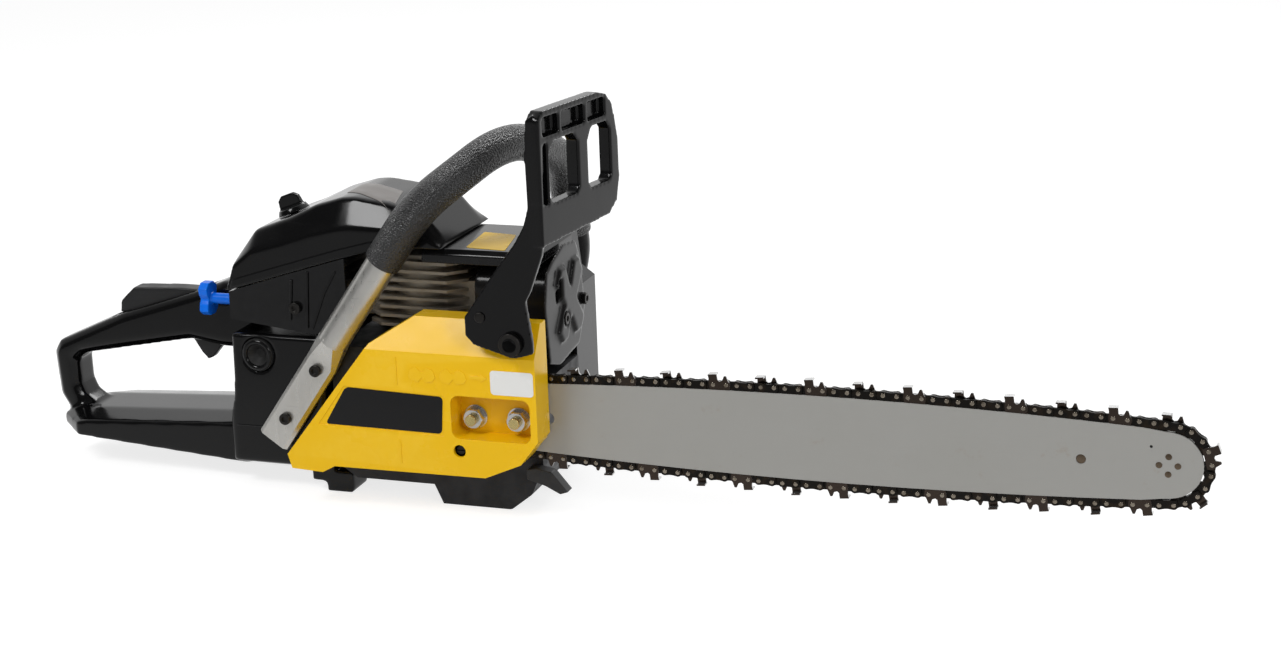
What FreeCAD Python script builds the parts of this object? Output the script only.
"""Petrol chainsaw with an 18 inch guide bar, as a parametric document.

Lengths are in millimetres and angles in degrees. Positions in the sheet are taken from
three planes of the engine: x from the crankshaft axis (forward along the bar), y from the
plane through the cylinder (left is positive, so the bar lies at minus y) and z from the
floor. Each sub-part is then moved back by rest_to_crank, which puts the origin of the
part in the middle of the flat face below the oil tank.
"""
import FreeCAD, Part
import math
import os
import re
import Sketcher

SIZES = {
    # Engine planes and general clearances
    "rest_to_crank": 46.0,
    "crank_height": 72.0,
    "bar_gap": 4.0,
    "bar_offset": "=case_right_depth + bar_gap",
    "overrun": 2.0,
    "part_gap": 0.3,
    "running_gap": 0.05,
    # Crankshaft, rod and piston of a 52 cc two-stroke
    "bore_dia": 45.0,
    "stroke": 32.0,
    "rod_length": 54.0,
    "compression_height": 20.0,
    "skirt_below_pin": 10.0,
    "piston_gap": 0.05,
    "crown_thickness": 5.0,
    "piston_wall": 3.5,
    "ring_height": 1.5,
    "ring_depth": 1.8,
    "ring_drop": 4.0,
    "ring_spacing": 4.5,
    "wrist_pin_dia": 11.0,
    "wrist_pin_bore": 6.0,
    "pin_boss_gap": 14.0,
    "rod_eye_dia": 18.0,
    "rod_eye_width": 11.0,
    "rod_shank_width": 9.0,
    "rod_shank_thickness": 5.0,
    "crankpin_dia": 14.0,
    "big_end_dia": 25.0,
    "web_dia": 54.0,
    "web_thickness": 9.0,
    "web_spacing": 13.0,
    "shaft_dia": 17.0,
    "taper_dia": 12.0,
    "shaft_thread_dia": 8.0,
    "bearing_dia": 40.0,
    "bearing_width": 12.0,
    "bearing_groove": 3.0,
    "bearing_groove_depth": 1.2,
    "crank_chamber_dia": 58.0,
    "bearing_start": 16.0,
    "seal_gap": 0.5,
    # Crankcase with the oil tank in its right half
    "case_rear": 60.0,
    "case_length": 157.0,
    "case_top": 112.0,
    "case_right_depth": 46.0,
    "case_left_depth": 32.0,
    "case_edge_round": 5.0,
    "bar_pad_depth": 2.0,
    "bar_pad_start": 34.0,
    "bar_pad_length": 60.0,
    "bar_pad_height": 34.0,
    "oil_tank_left": 32.0,
    "oil_tank_wall": 4.0,
    "oil_neck_x": 66.0,
    "oil_neck_height": 21.0,
    "oil_neck_dia": 32.0,
    "oil_neck_bore": 24.0,
    "oil_neck_length": 26.0,
    "pump_recess_dia": 58.0,
    "pump_recess_depth": 8.0,
    "foot_rear": 84.0,
    "foot_length": 32.0,
    "foot_y": 42.0,
    "foot_width": 26.0,
    "foot_height": 16.0,
    # Cylinder
    "cylinder_base_height": 6.0,
    "cylinder_base_half": 27.0,
    "sleeve_dia": 51.0,
    "sleeve_drop": 8.0,
    "barrel_dia": 57.0,
    "fin_half_length": 38.0,
    "fin_half_width": 32.5,
    "fin_start": 3.3,
    "fin_pitch": 6.5,
    "fin_thickness": 2.2,
    "fin_count": 8.0,
    "head_wall": 9.0,
    "head_top": "=intake_height + compression_height + chamber_height + head_wall",
    "chamber_height": 5.0,
    "port_width": 24.0,
    "port_height": 13.0,
    "intake_height": "=crank_height + stroke / 2 + rod_length",
    "port_offset": 4.0,
    "exhaust_port_height": "=intake_height + port_offset",
    "intake_flange_x": 42.0,
    "exhaust_flange_x": 43.0,
    "flange_height": 24.0,
    "flange_width": 44.0,
    "plug_tilt": 50.0,
    "plug_seat_x": 7.0,
    "plug_tip_gap": 0.8,
    "plug_thread_dia": 14.0,
    "plug_thread_length": 9.5,
    "plug_reach": "=plug_thread_length * cos(plug_tilt * 1 deg) + plug_thread_dia / 2 * sin(plug_tilt * 1 deg)",
    "plug_seat_height": "=head_top - head_wall - chamber_height + plug_tip_gap + plug_reach",
    "plug_hex": 19.0,
    "plug_hex_length": 9.0,
    "plug_insulator_dia": 9.0,
    "plug_insulator_length": 14.0,
    "plug_well_dia": 27.0,
    "plug_cap_dia": 18.0,
    "plug_cap_length": 20.0,
    "lead_dia": 6.0,
    # Flywheel, coil and starter on the left
    "flywheel_start": 37.0,
    "flywheel_dia": 92.0,
    "flywheel_disc": 6.0,
    "flywheel_rim": 8.0,
    "flywheel_rim_wall": 6.0,
    "flywheel_hub_dia": 30.0,
    "flywheel_hub_length": 18.0,
    "fan_blade_length": 18.0,
    "fan_blade_height": 12.0,
    "fan_blade_thickness": 2.0,
    "fan_blade_count": 14.0,
    "coil_gap": 0.4,
    "coil_x": 4.0,
    "coil_width": 34.0,
    "coil_height": 26.0,
    "coil_depth": 16.0,
    "coil_leg": 9.0,
    "coil_post_depth": 3.5,
    "coil_post_height": 18.5,
    "coil_lug_height": 5.8,
    "starter_rear": 58.0,
    "starter_length": 154.0,
    "starter_bottom": 16.0,
    "starter_height": 132.0,
    "starter_start": 33.0,
    "starter_depth": 55.0,
    "starter_wall": 2.5,
    "starter_round": 12.0,
    "starter_shoulder_length": 126.0,
    "starter_shoulder_height": 34.0,
    "starter_shoulder_depth": 19.0,
    "vent_count": 7.0,
    "vent_width": 4.5,
    "vent_pitch": 10.0,
    "vent_height": 56.0,
    "pulley_start": 62.0,
    "pulley_dia": 58.0,
    "pulley_width": 9.0,
    "pulley_groove_width": 4.5,
    "pulley_core_dia": 46.0,
    "pulley_bore": 9.0,
    "spring_width": 7.0,
    "spring_turns": 5.0,
    "spring_strip": 0.8,
    "spring_inner_dia": 16.0,
    "spring_outer_dia": 46.0,
    "rope_dia": 3.5,
    "starter_grip_length": 62.0,
    "starter_grip_width": 15.0,
    "starter_grip_height": 20.0,
    # Clutch, drum and oil pump on the right
    "clutch_hub_dia": 26.0,
    "clutch_hub_width": 12.0,
    "clutch_arm_width": 8.0,
    "shoe_outer_dia": 63.0,
    "shoe_inner_dia": 44.0,
    "shoe_width": 13.0,
    "shoe_slot": 3.0,
    "clutch_spring_dia": 3.0,
    "drum_dia": 68.0,
    "drum_wall": 1.8,
    "drum_offset": 8.0,
    "drum_web_y": "=bar_offset + drum_offset",
    "drum_depth": 15.0,
    "sprocket_teeth": 7.0,
    "sprocket_width": 12.0,
    "sprocket_groove": 2.0,
    "sprocket_core_dia": 16.5,
    "sprocket_tooth": 2.4,
    "drum_bore": 12.1,
    "brake_band_thickness": 1.2,
    "brake_band_width": 11.0,
    "brake_band_gap": 0.8,
    "pump_body_width": 24.0,
    "pump_body_height": 14.0,
    "pump_body_depth": 5.5,
    "pump_drop": 19.0,
    "worm_dia": 22.0,
    "worm_length": 3.5,
    # Clutch cover
    "cover_rear": 84.0,
    "cover_length": 190.0,
    "cover_bottom": 28.0,
    "cover_height": 115.0,
    "cover_reach": 27.0,
    "cover_face": "=bar_offset + cover_reach",
    "cover_back": 46.3,
    "cover_wall": 2.5,
    "cover_bevel_height": 22.0,
    "cover_bevel_depth": 14.0,
    "cover_bar_side": 53.3,
    "cover_nose_length": 42.0,
    "nut_recess_start": 43.0,
    "nut_recess_length": 58.0,
    "nut_recess_bottom": 61.0,
    "nut_recess_height": 31.0,
    "nut_recess_round": 6.0,
    "nut_offset": 8.0,
    "nut_seat_y": "=bar_offset + nut_offset",
    "rib_x": 3.0,
    "rib_width": 1.4,
    "rib_height": 0.5,
    "rib_upper_bottom": 97.0,
    "rib_upper_length": 20.0,
    "rib_lower_bottom": 40.0,
    "rib_lower_length": 17.0,
    "label_start": 58.0,
    "label_length": 97.0,
    "label_bottom": 62.0,
    "label_height": 31.0,
    "label_depth": 0.5,
    "stud_x": 54.0,
    "stud_spacing": 32.0,
    "stud_dia": 8.0,
    "stud_length": 41.0,
    "stud_seat": 17.0,
    "nut_af": 13.0,
    "nut_height": 8.0,
    "nut_flange_dia": 17.0,
    "nut_flange_height": 1.5,
    "tension_x": 48.0,
    "tension_height": 52.0,
    "tension_hole_dia": 9.0,
    "tension_screw_dia": 6.0,
    "tension_pin_dia": 4.0,
    # Guide bar
    "bar_thickness": 4.0,
    "bar_tail_x": 31.0,
    "bar_nose_x": 523.0,
    "bar_apex_x": 300.0,
    "bar_half_height": 29.8,
    "bar_bow_radius": 3880.0,
    "bar_nose_radius": 22.0,
    "bar_tail_half": 9.0,
    "bar_tail_taper": 12.0,
    "bar_slot_start": 38.0,
    "bar_slot_end": 109.0,
    "bar_slot_width": 8.4,
    "bar_pin_hole_dia": 5.0,
    "bar_groove_width": 1.7,
    "bar_groove_depth": 7.0,
    "bar_hang_hole_x": 468.0,
    "bar_hang_hole_dia": 6.5,
    "bar_rivet_dia": 3.4,
    "bar_rivet_spread": 5.9,
    "bar_lube_hole_x": 512.0,
    "bar_lube_hole_rise": 12.0,
    "bar_lube_hole_dia": 2.0,
    "nose_sprocket_teeth": 10.0,
    "nose_sprocket_thickness": 1.3,
    "nose_sprocket_root": 13.5,
    "nose_sprocket_tip": 18.5,
    "nose_hub_dia": 17.0,
    # Chain, .325 inch pitch
    "link_long": 9.07,
    "link_short": 7.44,
    "rivet_lift": 3.6,
    "nose_rivet_radius": 26.9,
    "drive_thickness": 1.45,
    "strap_thickness": 1.2,
    "strap_gap": 0.06,
    "strap_half_height": 2.9,
    "strap_foot": 3.45,
    "rivet_dia": 3.4,
    "rivet_head": 0.4,
    "tang_depth": 8.9,
    "cutter_rise": 6.9,
    "cutter_top_thickness": 1.1,
    "cutter_top_width": 5.4,
    "first_cutter_x": 160.9,
    # Chain catcher and muffler
    "catcher_x": 88.0,
    "catcher_top": 44.0,
    "catcher_length": 30.0,
    "catcher_height": 26.0,
    "catcher_width": 9.0,
    "muffler_start": 48.0,
    "muffler_length": 54.0,
    "muffler_right": 46.0,
    "muffler_width": 80.0,
    "muffler_drop": 46.0,
    "muffler_bottom": "=exhaust_port_height - muffler_drop",
    "muffler_height": 84.0,
    "muffler_wall": 1.5,
    "muffler_round": 14.0,
    "muffler_plate": 1.6,
    "muffler_lip": 3.0,
    "muffler_outlet_width": 6.0,
    "muffler_outlet_height": 16.0,
    "muffler_port_dia": 22.0,
    # Covers over the cylinder and the air filter
    "top_cover_start": 12.0,
    "top_cover_length": 84.0,
    "top_cover_right": 42.0,
    "top_cover_width": 74.0,
    "top_cover_lap": 1.0,
    "top_cover_bottom": "=head_top - top_cover_lap",
    "top_cover_height": 10.0,
    "top_cover_top": "=top_cover_bottom + top_cover_height",
    "top_cover_wall": 2.5,
    "filter_cover_rear": 139.0,
    "filter_cover_length": 167.0,
    "filter_cover_rise": 5.0,
    "filter_cover_bottom": "=intake_height + filter_cover_rise",
    "filter_cover_height": 70.0,
    "filter_cover_half": 44.7,
    "filter_cover_shoulder": 33.0,
    "filter_cover_wall": 2.5,
    "filter_knob_x": 104.0,
    "filter_knob_dia": 24.0,
    "filter_knob_height": 4.0,
    "filter_knob_wing": 10.0,
    "filter_knob_wing_thickness": 4.0,
    "filter_stud_dia": 5.0,
    "air_box_rear": 138.0,
    "air_box_front_room": 42.0,
    "air_box_length": "=air_box_rear + air_box_front_room - carb_start",
    "air_box_drop": 23.0,
    "air_box_bottom": "=intake_height - air_box_drop",
    "air_box_height": 60.0,
    "air_box_half": 44.5,
    "air_box_wall": 2.5,
    "filter_start": 128.0,
    "filter_width": 64.0,
    "filter_drop": 4.0,
    "filter_bottom": "=intake_height - filter_drop",
    "filter_height": 29.0,
    "filter_pleats": 16.0,
    "filter_pleat_depth": 3.0,
    "boot_dia": 30.0,
    "boot_bore": 18.0,
    "carb_start": 88.0,
    "carb_length": 32.0,
    "carb_width": 36.0,
    "carb_height": 30.0,
    "carb_bore": 18.0,
    "carb_bowl_dia": 30.0,
    "carb_bowl_height": 4.0,
    "valve_shaft_dia": 4.0,
    "valve_disc_thickness": 1.0,
    "valve_lever_length": 8.0,
    "valve_lever_angle": 37.5,
    "valve_lever_thickness": 1.5,
    # Tank with rear handle
    "tank_rear": 146.0,
    "tank_length": 80.0,
    "tank_right": 46.0,
    "tank_width": 98.0,
    "tank_gap": 3.0,
    "tank_height": "=air_box_bottom - tank_gap",
    "tank_wall": 3.0,
    "tank_round": 6.0,
    "grip_y": 5.0,
    "grip_width": 30.0,
    "grip_rear": 312.0,
    "grip_length": 174.0,
    "grip_bottom": 22.0,
    "grip_height": 120.0,
    "grip_round": 9.0,
    "deck_rear": 304.0,
    "deck_bottom": 8.0,
    "deck_height": 42.0,
    "deck_half_width": 39.0,
    "trigger_slot": 8.0,
    "trigger_pivot_x": 171.0,
    "trigger_pivot_height": 106.0,
    "trigger_pin_dia": 4.0,
    "trigger_length": 26.0,
    "trigger_drop": 27.0,
    "lock_pivot_x": 190.0,
    "lock_pivot_height": 121.0,
    "lock_length": 64.0,
    "lock_height": 22.0,
    "lock_width": 14.0,
    "rod_dia": 3.0,
    "throttle_rod_drop": 7.2,
    "throttle_rod_height": "=intake_height - throttle_rod_drop",
    "throttle_rod_bend": 44.0,
    "choke_y": 22.0,
    "choke_drop": 8.0,
    "choke_height": "=intake_height - choke_drop",
    "choke_stem_dia": 8.0,
    "choke_stem_length": 38.0,
    "choke_wing_height": 24.0,
    "choke_wing_width": 18.0,
    "choke_wing_thickness": 7.0,
    "choke_wing_x": 171.0,
    "switch_x": 136.0,
    "switch_y": 26.0,
    "switch_height": 100.0,
    "switch_length": 16.0,
    "switch_width": 10.0,
    "fuel_cap_x": 104.0,
    "fuel_cap_height": 58.0,
    "cap_dia": 34.0,
    "cap_depth": 12.0,
    "cap_neck_dia": 30.0,
    "cap_neck_length": 5.0,
    "cap_grip_width": 5.0,
    "cap_grip_height": 4.0,
    "isolator_dia": 24.0,
    "isolator_x": 118.0,
    "isolator_height": 101.0,
    "isolator_depth": 12.0,
    "isolator_cup_dia": 13.0,
    "mount_dia": 20.0,
    "mount_y": 24.0,
    "mount_height": 60.0,
    # Front handle
    "handle_tube_dia": 22.0,
    "handle_wall": 2.0,
    "handle_grip_dia": 26.0,
    "handle_flat_width": 24.0,
    "handle_flat_thickness": 9.0,
    "handle_flat_length": 62.0,
    "handle_side": 58.0,
    "handle_foot_x": 100.0,
    "handle_foot_height": 50.0,
    "handle_grip_start": 73.0,
    "handle_slope_x": 94.0,
    "handle_slope_height": 134.0,
    "handle_shoulder_x": 18.0,
    "handle_shoulder_height": 218.0,
    "handle_shoulder_round": 50.0,
    "handle_top_x": 62.0,
    "handle_top_y": 5.0,
    "handle_top_height": 256.0,
    "handle_top_round": 60.0,
    "handle_left_x": 74.0,
    "handle_left_y": 80.0,
    "handle_left_height": 226.0,
    "handle_left_round": 45.0,
    "handle_leg_x": 72.0,
    "handle_leg_y": 104.0,
    "handle_leg_height": 150.0,
    "handle_leg_round": 60.0,
    "handle_low_x": 40.0,
    "handle_low_height": 26.0,
    "handle_low_round": 26.0,
    "handle_end_x": 86.0,
    "handle_end_height": 24.0,
    "handle_end_round": 24.0,
    # Hand guard
    "guard_clearance": 7.0,
    "guard_face": "=cover_face + guard_clearance",
    "guard_plate": 5.0,
    "guard_base_x": 60.0,
    "guard_base_height": 124.0,
    "guard_arm_length": 55.0,
    "guard_arm_height": 166.0,
    "guard_pivot_x": 93.0,
    "guard_pivot_height": 134.0,
    "guard_bolt_dia": 8.0,
    "guard_bolt_head_dia": 16.0,
    "guard_bolt_head": 4.0,
    "guard_loop_x": 110.0,
    "guard_loop_yaw": 11.5,
    "guard_loop_width": 102.0,
    "guard_loop_bottom": 202.0,
    "guard_loop_height": 90.0,
    "guard_loop_depth": 10.0,
    "guard_channel": 6.0,
    # Screws
    "screw_head_dia": 8.5,
    "screw_head_height": 3.2,
    "screw_shank_dia": 4.0,
    "screw_shank_length": 12.0,
    "screw_socket": 4.0,
}

V = FreeCAD.Vector
doc = FreeCAD.newDocument("chainsaw")
sheet = doc.addObject("Spreadsheet::Sheet", "Sizes")
for row, (word, amount) in enumerate(SIZES.items(), start=1):
    sheet.set(f"A{row}", word)
    sheet.set(f"B{row}", str(amount))
    sheet.setAlias(f"B{row}", word)
doc.recompute()
parts = []
WORD = re.compile(r"[a-z][a-z_0-9]*")


class Numbers:
    """The sheet's values as plain numbers, for shapes that Part's functions make."""

    def __getattr__(self, name):
        return float(sheet.get(name))


n = Numbers()


def value(name):
    """One value of the sheet by its word."""
    return getattr(n, name)


def cells(text):
    """Turn words of the sheet into references for an expression."""
    return WORD.sub(lambda found: "Sizes." + found.group() if found.group() in SIZES else found.group(),
                    text)


def bind(obj, **targets):
    """Bind properties to expressions; two underscores in a name stand for a dot."""
    for target, text in targets.items():
        obj.setExpression(target.replace("__", "."), cells(text))


def sub_part(obj, label):
    """Name a finished sub-part and keep it for export."""
    obj.Label = label
    parts.append(obj)
    return obj


def box(name, x, y, z):
    """A block between pairs of places along x, y and z."""
    block = doc.addObject("Part::Box", name)
    bind(block, Length=f"({x[1]}) - ({x[0]})", Width=f"({y[1]}) - ({y[0]})", Height=f"({z[1]}) - ({z[0]})")
    bind(block, Placement__Base__x=f"{x[0]} - rest_to_crank", Placement__Base__y=y[0])
    bind(block, Placement__Base__z=z[0])
    return block


TURN_TO = {
    "x": FreeCAD.Rotation(V(0, 1, 0), 90),
    "y": FreeCAD.Rotation(V(1, 0, 0), -90),
    "z": FreeCAD.Rotation(),
}


def rod(name, axis, at, radius, length):
    """A round bar from a place along an axis."""
    bar = doc.addObject("Part::Cylinder", name)
    bar.Placement = FreeCAD.Placement(V(), TURN_TO[axis])
    bind(bar, Radius=radius, Height=length, Placement__Base__x=f"{at[0]} - rest_to_crank")
    bind(bar, Placement__Base__y=at[1], Placement__Base__z=at[2])
    return bar


def cone(name, axis, at, radius, end_radius, length):
    """A tapered round bar from a place along an axis."""
    bar = doc.addObject("Part::Cone", name)
    bar.Placement = FreeCAD.Placement(V(), TURN_TO[axis])
    bind(bar, Radius1=radius, Radius2=end_radius, Height=length)
    bind(bar, Placement__Base__x=f"{at[0]} - rest_to_crank", Placement__Base__y=at[1],
         Placement__Base__z=at[2])
    return bar


def cut(name, base, *tools):
    """Take tools away from a base."""
    tool = tools[0] if len(tools) == 1 else fuse(name + "_tools", *tools)
    result = doc.addObject("Part::Cut", name)
    result.Base = base
    result.Tool = tool
    return result


def fuse(name, *shapes):
    """Join shapes into one."""
    result = doc.addObject("Part::MultiFuse", name)
    result.Shapes = list(shapes)
    return result


def solid(name, shape):
    """An object that holds a shape made in the engine's planes."""
    feature = doc.addObject("Part::Feature", name)
    feature.Shape = shape
    feature.Placement = FreeCAD.Placement(V(-n.rest_to_crank, 0, 0), FreeCAD.Rotation())
    return feature


PLANES = {"XY": ("XY_Plane", 1), "XZ": ("XZ_Plane", -1), "YZ": ("YZ_Plane", 1)}


class Bench:
    """A PartDesign body with short calls for its sketches and features."""

    def __init__(self, name):
        self.body = doc.addObject("PartDesign::Body", name)
        bind(self.body, Placement__Base__x="-rest_to_crank")
        self.count = 0

    def sketch(self, plane, corner, level):
        """An empty sketch on an origin plane, moved to its corner and level."""
        self.count += 1
        role, sense = PLANES[plane]
        sketch = self.body.newObject("Sketcher::SketchObject", f"{self.body.Name}_sketch{self.count}")
        support = [item for item in self.body.Origin.OriginFeatures if item.Role == role]
        sketch.AttachmentSupport = [(support[0], "")]
        sketch.MapMode = "FlatFace"
        bind(sketch, AttachmentOffset__Base__x=corner[0], AttachmentOffset__Base__y=corner[1])
        bind(sketch, AttachmentOffset__Base__z=level if sense > 0 else f"-({level})")
        return sketch

    def outline(self, plane, corner, level, spans, shares):
        """A closed outline whose points are shares of two spans."""
        sketch = self.sketch(plane, corner, level)
        size_u, size_v = value(spans[0]), value(spans[1])
        points = [V(u * size_u, v * size_v, 0) for u, v in shares]
        for start, end in zip(points, points[1:] + points[:1]):
            sketch.addGeometry(Part.LineSegment(start, end), False)
        total = len(points)
        for index in range(total):
            sketch.addConstraint(Sketcher.Constraint("Coincident", index, 2, (index + 1) % total, 1))
        for index, pair in enumerate(shares):
            for share, span, kind, axis in zip(pair, spans, ("DistanceX", "DistanceY"), (-2, -1)):
                if share == 0:
                    sketch.addConstraint(Sketcher.Constraint("PointOnObject", index, 1, axis))
                    continue
                length = share * value(span)
                held = sketch.addConstraint(Sketcher.Constraint(kind, -1, 1, index, 1, length))
                sketch.setExpression(f"Constraints[{held}]", cells(f"{span} * {share}"))
        return sketch

    def circle(self, plane, centre, level, dia):
        """A circle about the sketch's own origin."""
        sketch = self.sketch(plane, centre, level)
        sketch.addGeometry(Part.Circle(V(), V(0, 0, 1), n.overrun), False)
        sketch.addConstraint(Sketcher.Constraint("Coincident", 0, 3, -1, 1))
        held = sketch.addConstraint(Sketcher.Constraint("Diameter", 0, n.overrun * 2))
        sketch.setExpression(f"Constraints[{held}]", cells(dia))
        return sketch

    def feature(self, kind, sketch, length):
        """A pad or pocket of a sketch, checked to change the volume."""
        before = self.body.Shape.Volume if self.count > 1 else 0
        made = self.body.newObject("PartDesign::" + kind, f"{self.body.Name}_{kind.lower()}{self.count}")
        made.Profile = sketch
        bind(made, Length=length)
        doc.recompute()
        gained = made.Shape.Volume - before
        if gained * (1 if kind == "Pad" else -1) <= 0:
            raise RuntimeError(f"{made.Name} changes nothing")
        return made

    def pad(self, plane, corner, reach, spans, shares):
        """Material between the two ends of reach over an outline."""
        level = reach[0] if PLANES[plane][1] > 0 else reach[1]
        return self.feature("Pad", self.outline(plane, corner, level, spans, shares),
                            f"({reach[1]}) - ({reach[0]})")

    def pocket(self, plane, corner, reach, spans, shares):
        """A cut between the two ends of reach over an outline."""
        level = reach[1] if PLANES[plane][1] > 0 else reach[0]
        return self.feature("Pocket", self.outline(plane, corner, level, spans, shares),
                            f"({reach[1]}) - ({reach[0]})")

    def round_pad(self, plane, centre, reach, dia):
        """A round boss between the two ends of reach."""
        level = reach[0] if PLANES[plane][1] > 0 else reach[1]
        return self.feature("Pad", self.circle(plane, centre, level, dia), f"({reach[1]}) - ({reach[0]})")

    def hole(self, plane, centre, reach, dia):
        """A round cut between the two ends of reach."""
        level = reach[1] if PLANES[plane][1] > 0 else reach[0]
        return self.feature("Pocket", self.circle(plane, centre, level, dia),
                            f"({reach[1]}) - ({reach[0]})")

    def dress(self, kind, feature, edges, size):
        """A fillet or chamfer on chosen edges."""
        self.count += 1
        made = self.body.newObject("PartDesign::" + kind, f"{self.body.Name}_{kind.lower()}{self.count}")
        made.Base = (feature, edges)
        bind(made, **{"Radius" if kind == "Fillet" else "Size": size})
        doc.recompute()
        return made

    def done(self, label):
        """Finish the body as a sub-part."""
        return sub_part(self.body, label)


SQUARE_SHARES = [(0, 0), (1, 0), (1, 1), (0, 1)]


def edges_along(shape, direction, keep=lambda middle: True):
    """Names of straight edges along a direction whose middle is kept."""
    found = []
    for index, edge in enumerate(shape.Edges, start=1):
        if edge.Curve.TypeId != "Part::GeomLine" or not edge.Curve.Direction.cross(direction).Length < 1e-6:
            continue
        if keep(edge.valueAt((edge.FirstParameter + edge.LastParameter) / 2)):
            found.append(f"Edge{index}")
    return found


def wire_xz(points, level):
    """A closed straight-sided wire in the plane at y = level."""
    corners = [V(x, level, z) for x, z in points]
    return Part.makePolygon(corners + corners[:1])


def slab_xz(points, start, end):
    """A prism of an outline in x and z between two places along y."""
    return Part.Face(wire_xz(points, start)).extrude(V(0, end - start, 0))


def span_points(shares, corner, spans):
    """Points at shares of two spans from a corner."""
    return [(corner[0] + u * spans[0], corner[1] + v * spans[1]) for u, v in shares]


# Piston, pin and rod, which rise together from bottom dead centre
THROW = "stroke / 2"
PIN_Z = f"crank_height - {THROW} + rod_length"
CROWN_Z = f"{PIN_Z} + compression_height"
CRANKPIN_Z = f"crank_height - {THROW}"
PISTON_RADIUS = "bore_dia / 2 - piston_gap"
PISTON_LENGTH = "compression_height + skirt_below_pin"


def ring_groove(name, count, inset):
    """A band from the piston wall inwards at the place of one ring."""
    level = f"{CROWN_Z} - ring_drop - ring_height - {count} * ring_spacing"
    outer = rod(f"{name}_outer", "z", ("0", "0", level), f"{PISTON_RADIUS} + {inset}", "ring_height")
    inner = rod(f"{name}_inner", "z", ("0", "0", level), "bore_dia / 2 - ring_depth", "ring_height")
    return cut(name, outer, inner)


def make_piston():
    """Aluminium piston with pin bosses and two ring grooves."""
    foot = f"{PIN_Z} - skirt_below_pin"
    blank = rod("piston_blank", "z", ("0", "0", foot), PISTON_RADIUS, PISTON_LENGTH)
    hollow = rod("piston_hollow", "z", ("0", "0", f"{foot} - overrun"), f"{PISTON_RADIUS} - piston_wall",
                 f"{PISTON_LENGTH} - crown_thickness + overrun")
    shell = cut("piston_shell", blank, hollow)
    bosses = []
    for side, start in (("right", "-(bore_dia / 2 - piston_wall)"), ("left", "pin_boss_gap / 2")):
        bosses.append(rod(f"piston_boss_{side}", "y", ("0", start, PIN_Z), "wrist_pin_dia * 0.75",
                          "bore_dia / 2 - piston_wall - pin_boss_gap / 2"))
    joined = fuse("piston_joined", shell, *bosses)
    pin_hole = rod("piston_pin_hole", "y", ("0", "-bore_dia", PIN_Z), "wrist_pin_dia / 2", "bore_dia * 2")
    grooves = [ring_groove(f"piston_groove{count}", count, "overrun") for count in range(2)]
    sub_part(cut("piston_body", joined, pin_hole, *grooves), "piston")


def make_piston_rings():
    """Two rings, each with its end gap at the back."""
    rings = []
    for count in range(2):
        ring = ring_groove(f"ring{count}", count, "piston_gap / 2")
        rings.append(ring)
    stack = fuse("ring_stack", *rings)
    level = f"{CROWN_Z} - ring_drop - ring_height - ring_spacing - overrun"
    gap = box("ring_gap", ("-bore_dia", "0"), ("-ring_height / 4", "ring_height / 4"),
              (level, f"{CROWN_Z}"))
    sub_part(cut("rings_body", stack, gap), "piston_rings")


def make_rod():
    """Wrist pin, and the connecting rod with the crankpin in its big end."""
    half = "bore_dia / 2 - piston_wall"
    pin = rod("pin_blank", "y", ("0", f"-({half})", PIN_Z), "wrist_pin_dia / 2", f"2 * ({half})")
    bore = rod("pin_bore", "y", ("0", "-bore_dia", PIN_Z), "wrist_pin_bore / 2", "bore_dia * 2")
    sub_part(cut("pin_body", pin, bore), "wrist_pin")
    small = rod("rod_small_end", "y", ("0", "-rod_eye_width / 2", PIN_Z), "rod_eye_dia / 2",
                "rod_eye_width")
    big = rod("rod_big_end", "y", ("0", "-rod_eye_width / 2", CRANKPIN_Z), "big_end_dia / 2",
              "rod_eye_width")
    shank = box("rod_shank", ("-rod_shank_width / 2", "rod_shank_width / 2"),
                ("-rod_shank_thickness / 2", "rod_shank_thickness / 2"), (CRANKPIN_Z, PIN_Z))
    crankpin = rod("rod_crankpin", "y", ("0", "-(web_spacing / 2 - part_gap)", CRANKPIN_Z),
                   "crankpin_dia / 2", "web_spacing - 2 * part_gap")
    joined = fuse("rod_joined", small, big, shank, crankpin)
    eye = rod("rod_eye", "y", ("0", "-rod_eye_width", PIN_Z), "wrist_pin_dia / 2", "rod_eye_width * 2")
    sub_part(cut("rod_body", joined, eye), "connecting_rod")


WEB_OUT = "(web_spacing / 2 + web_thickness)"
BEARING_IN = "bearing_start"
BEARING_OUT = f"({BEARING_IN} + bearing_width)"


def make_crankshaft():
    """Two full webs, each with its own end of the shaft."""
    pieces = []
    for side, sense, taper_end, end in (
        ("right", "-", "drum_web_y + drum_wall", "drum_web_y + drum_depth"),
        ("left", "", "flywheel_start + flywheel_hub_length", "pulley_start - 2 * overrun"),
    ):
        def span(start, stop):
            return f"-({stop})" if sense else start
        web = rod(f"web_{side}", "y", ("0", span("web_spacing / 2", WEB_OUT), "crank_height"),
                  "web_dia / 2", "web_thickness")
        collar_end = f"{BEARING_OUT} + bearing_groove"
        collar = rod(f"collar_{side}", "y", ("0", span(WEB_OUT, collar_end), "crank_height"),
                     "shaft_dia / 2", f"{collar_end} - {WEB_OUT}")
        taper = rod(f"taper_{side}", "y", ("0", span(collar_end, taper_end), "crank_height"),
                    "taper_dia / 2", f"{taper_end} - ({collar_end})")
        thread = rod(f"thread_{side}", "y", ("0", span(taper_end, end), "crank_height"),
                     "shaft_thread_dia / 2", f"{end} - ({taper_end})")
        pieces += [web, collar, taper, thread]
    sub_part(fuse("crankshaft_body", *pieces), "crankshaft")


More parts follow.
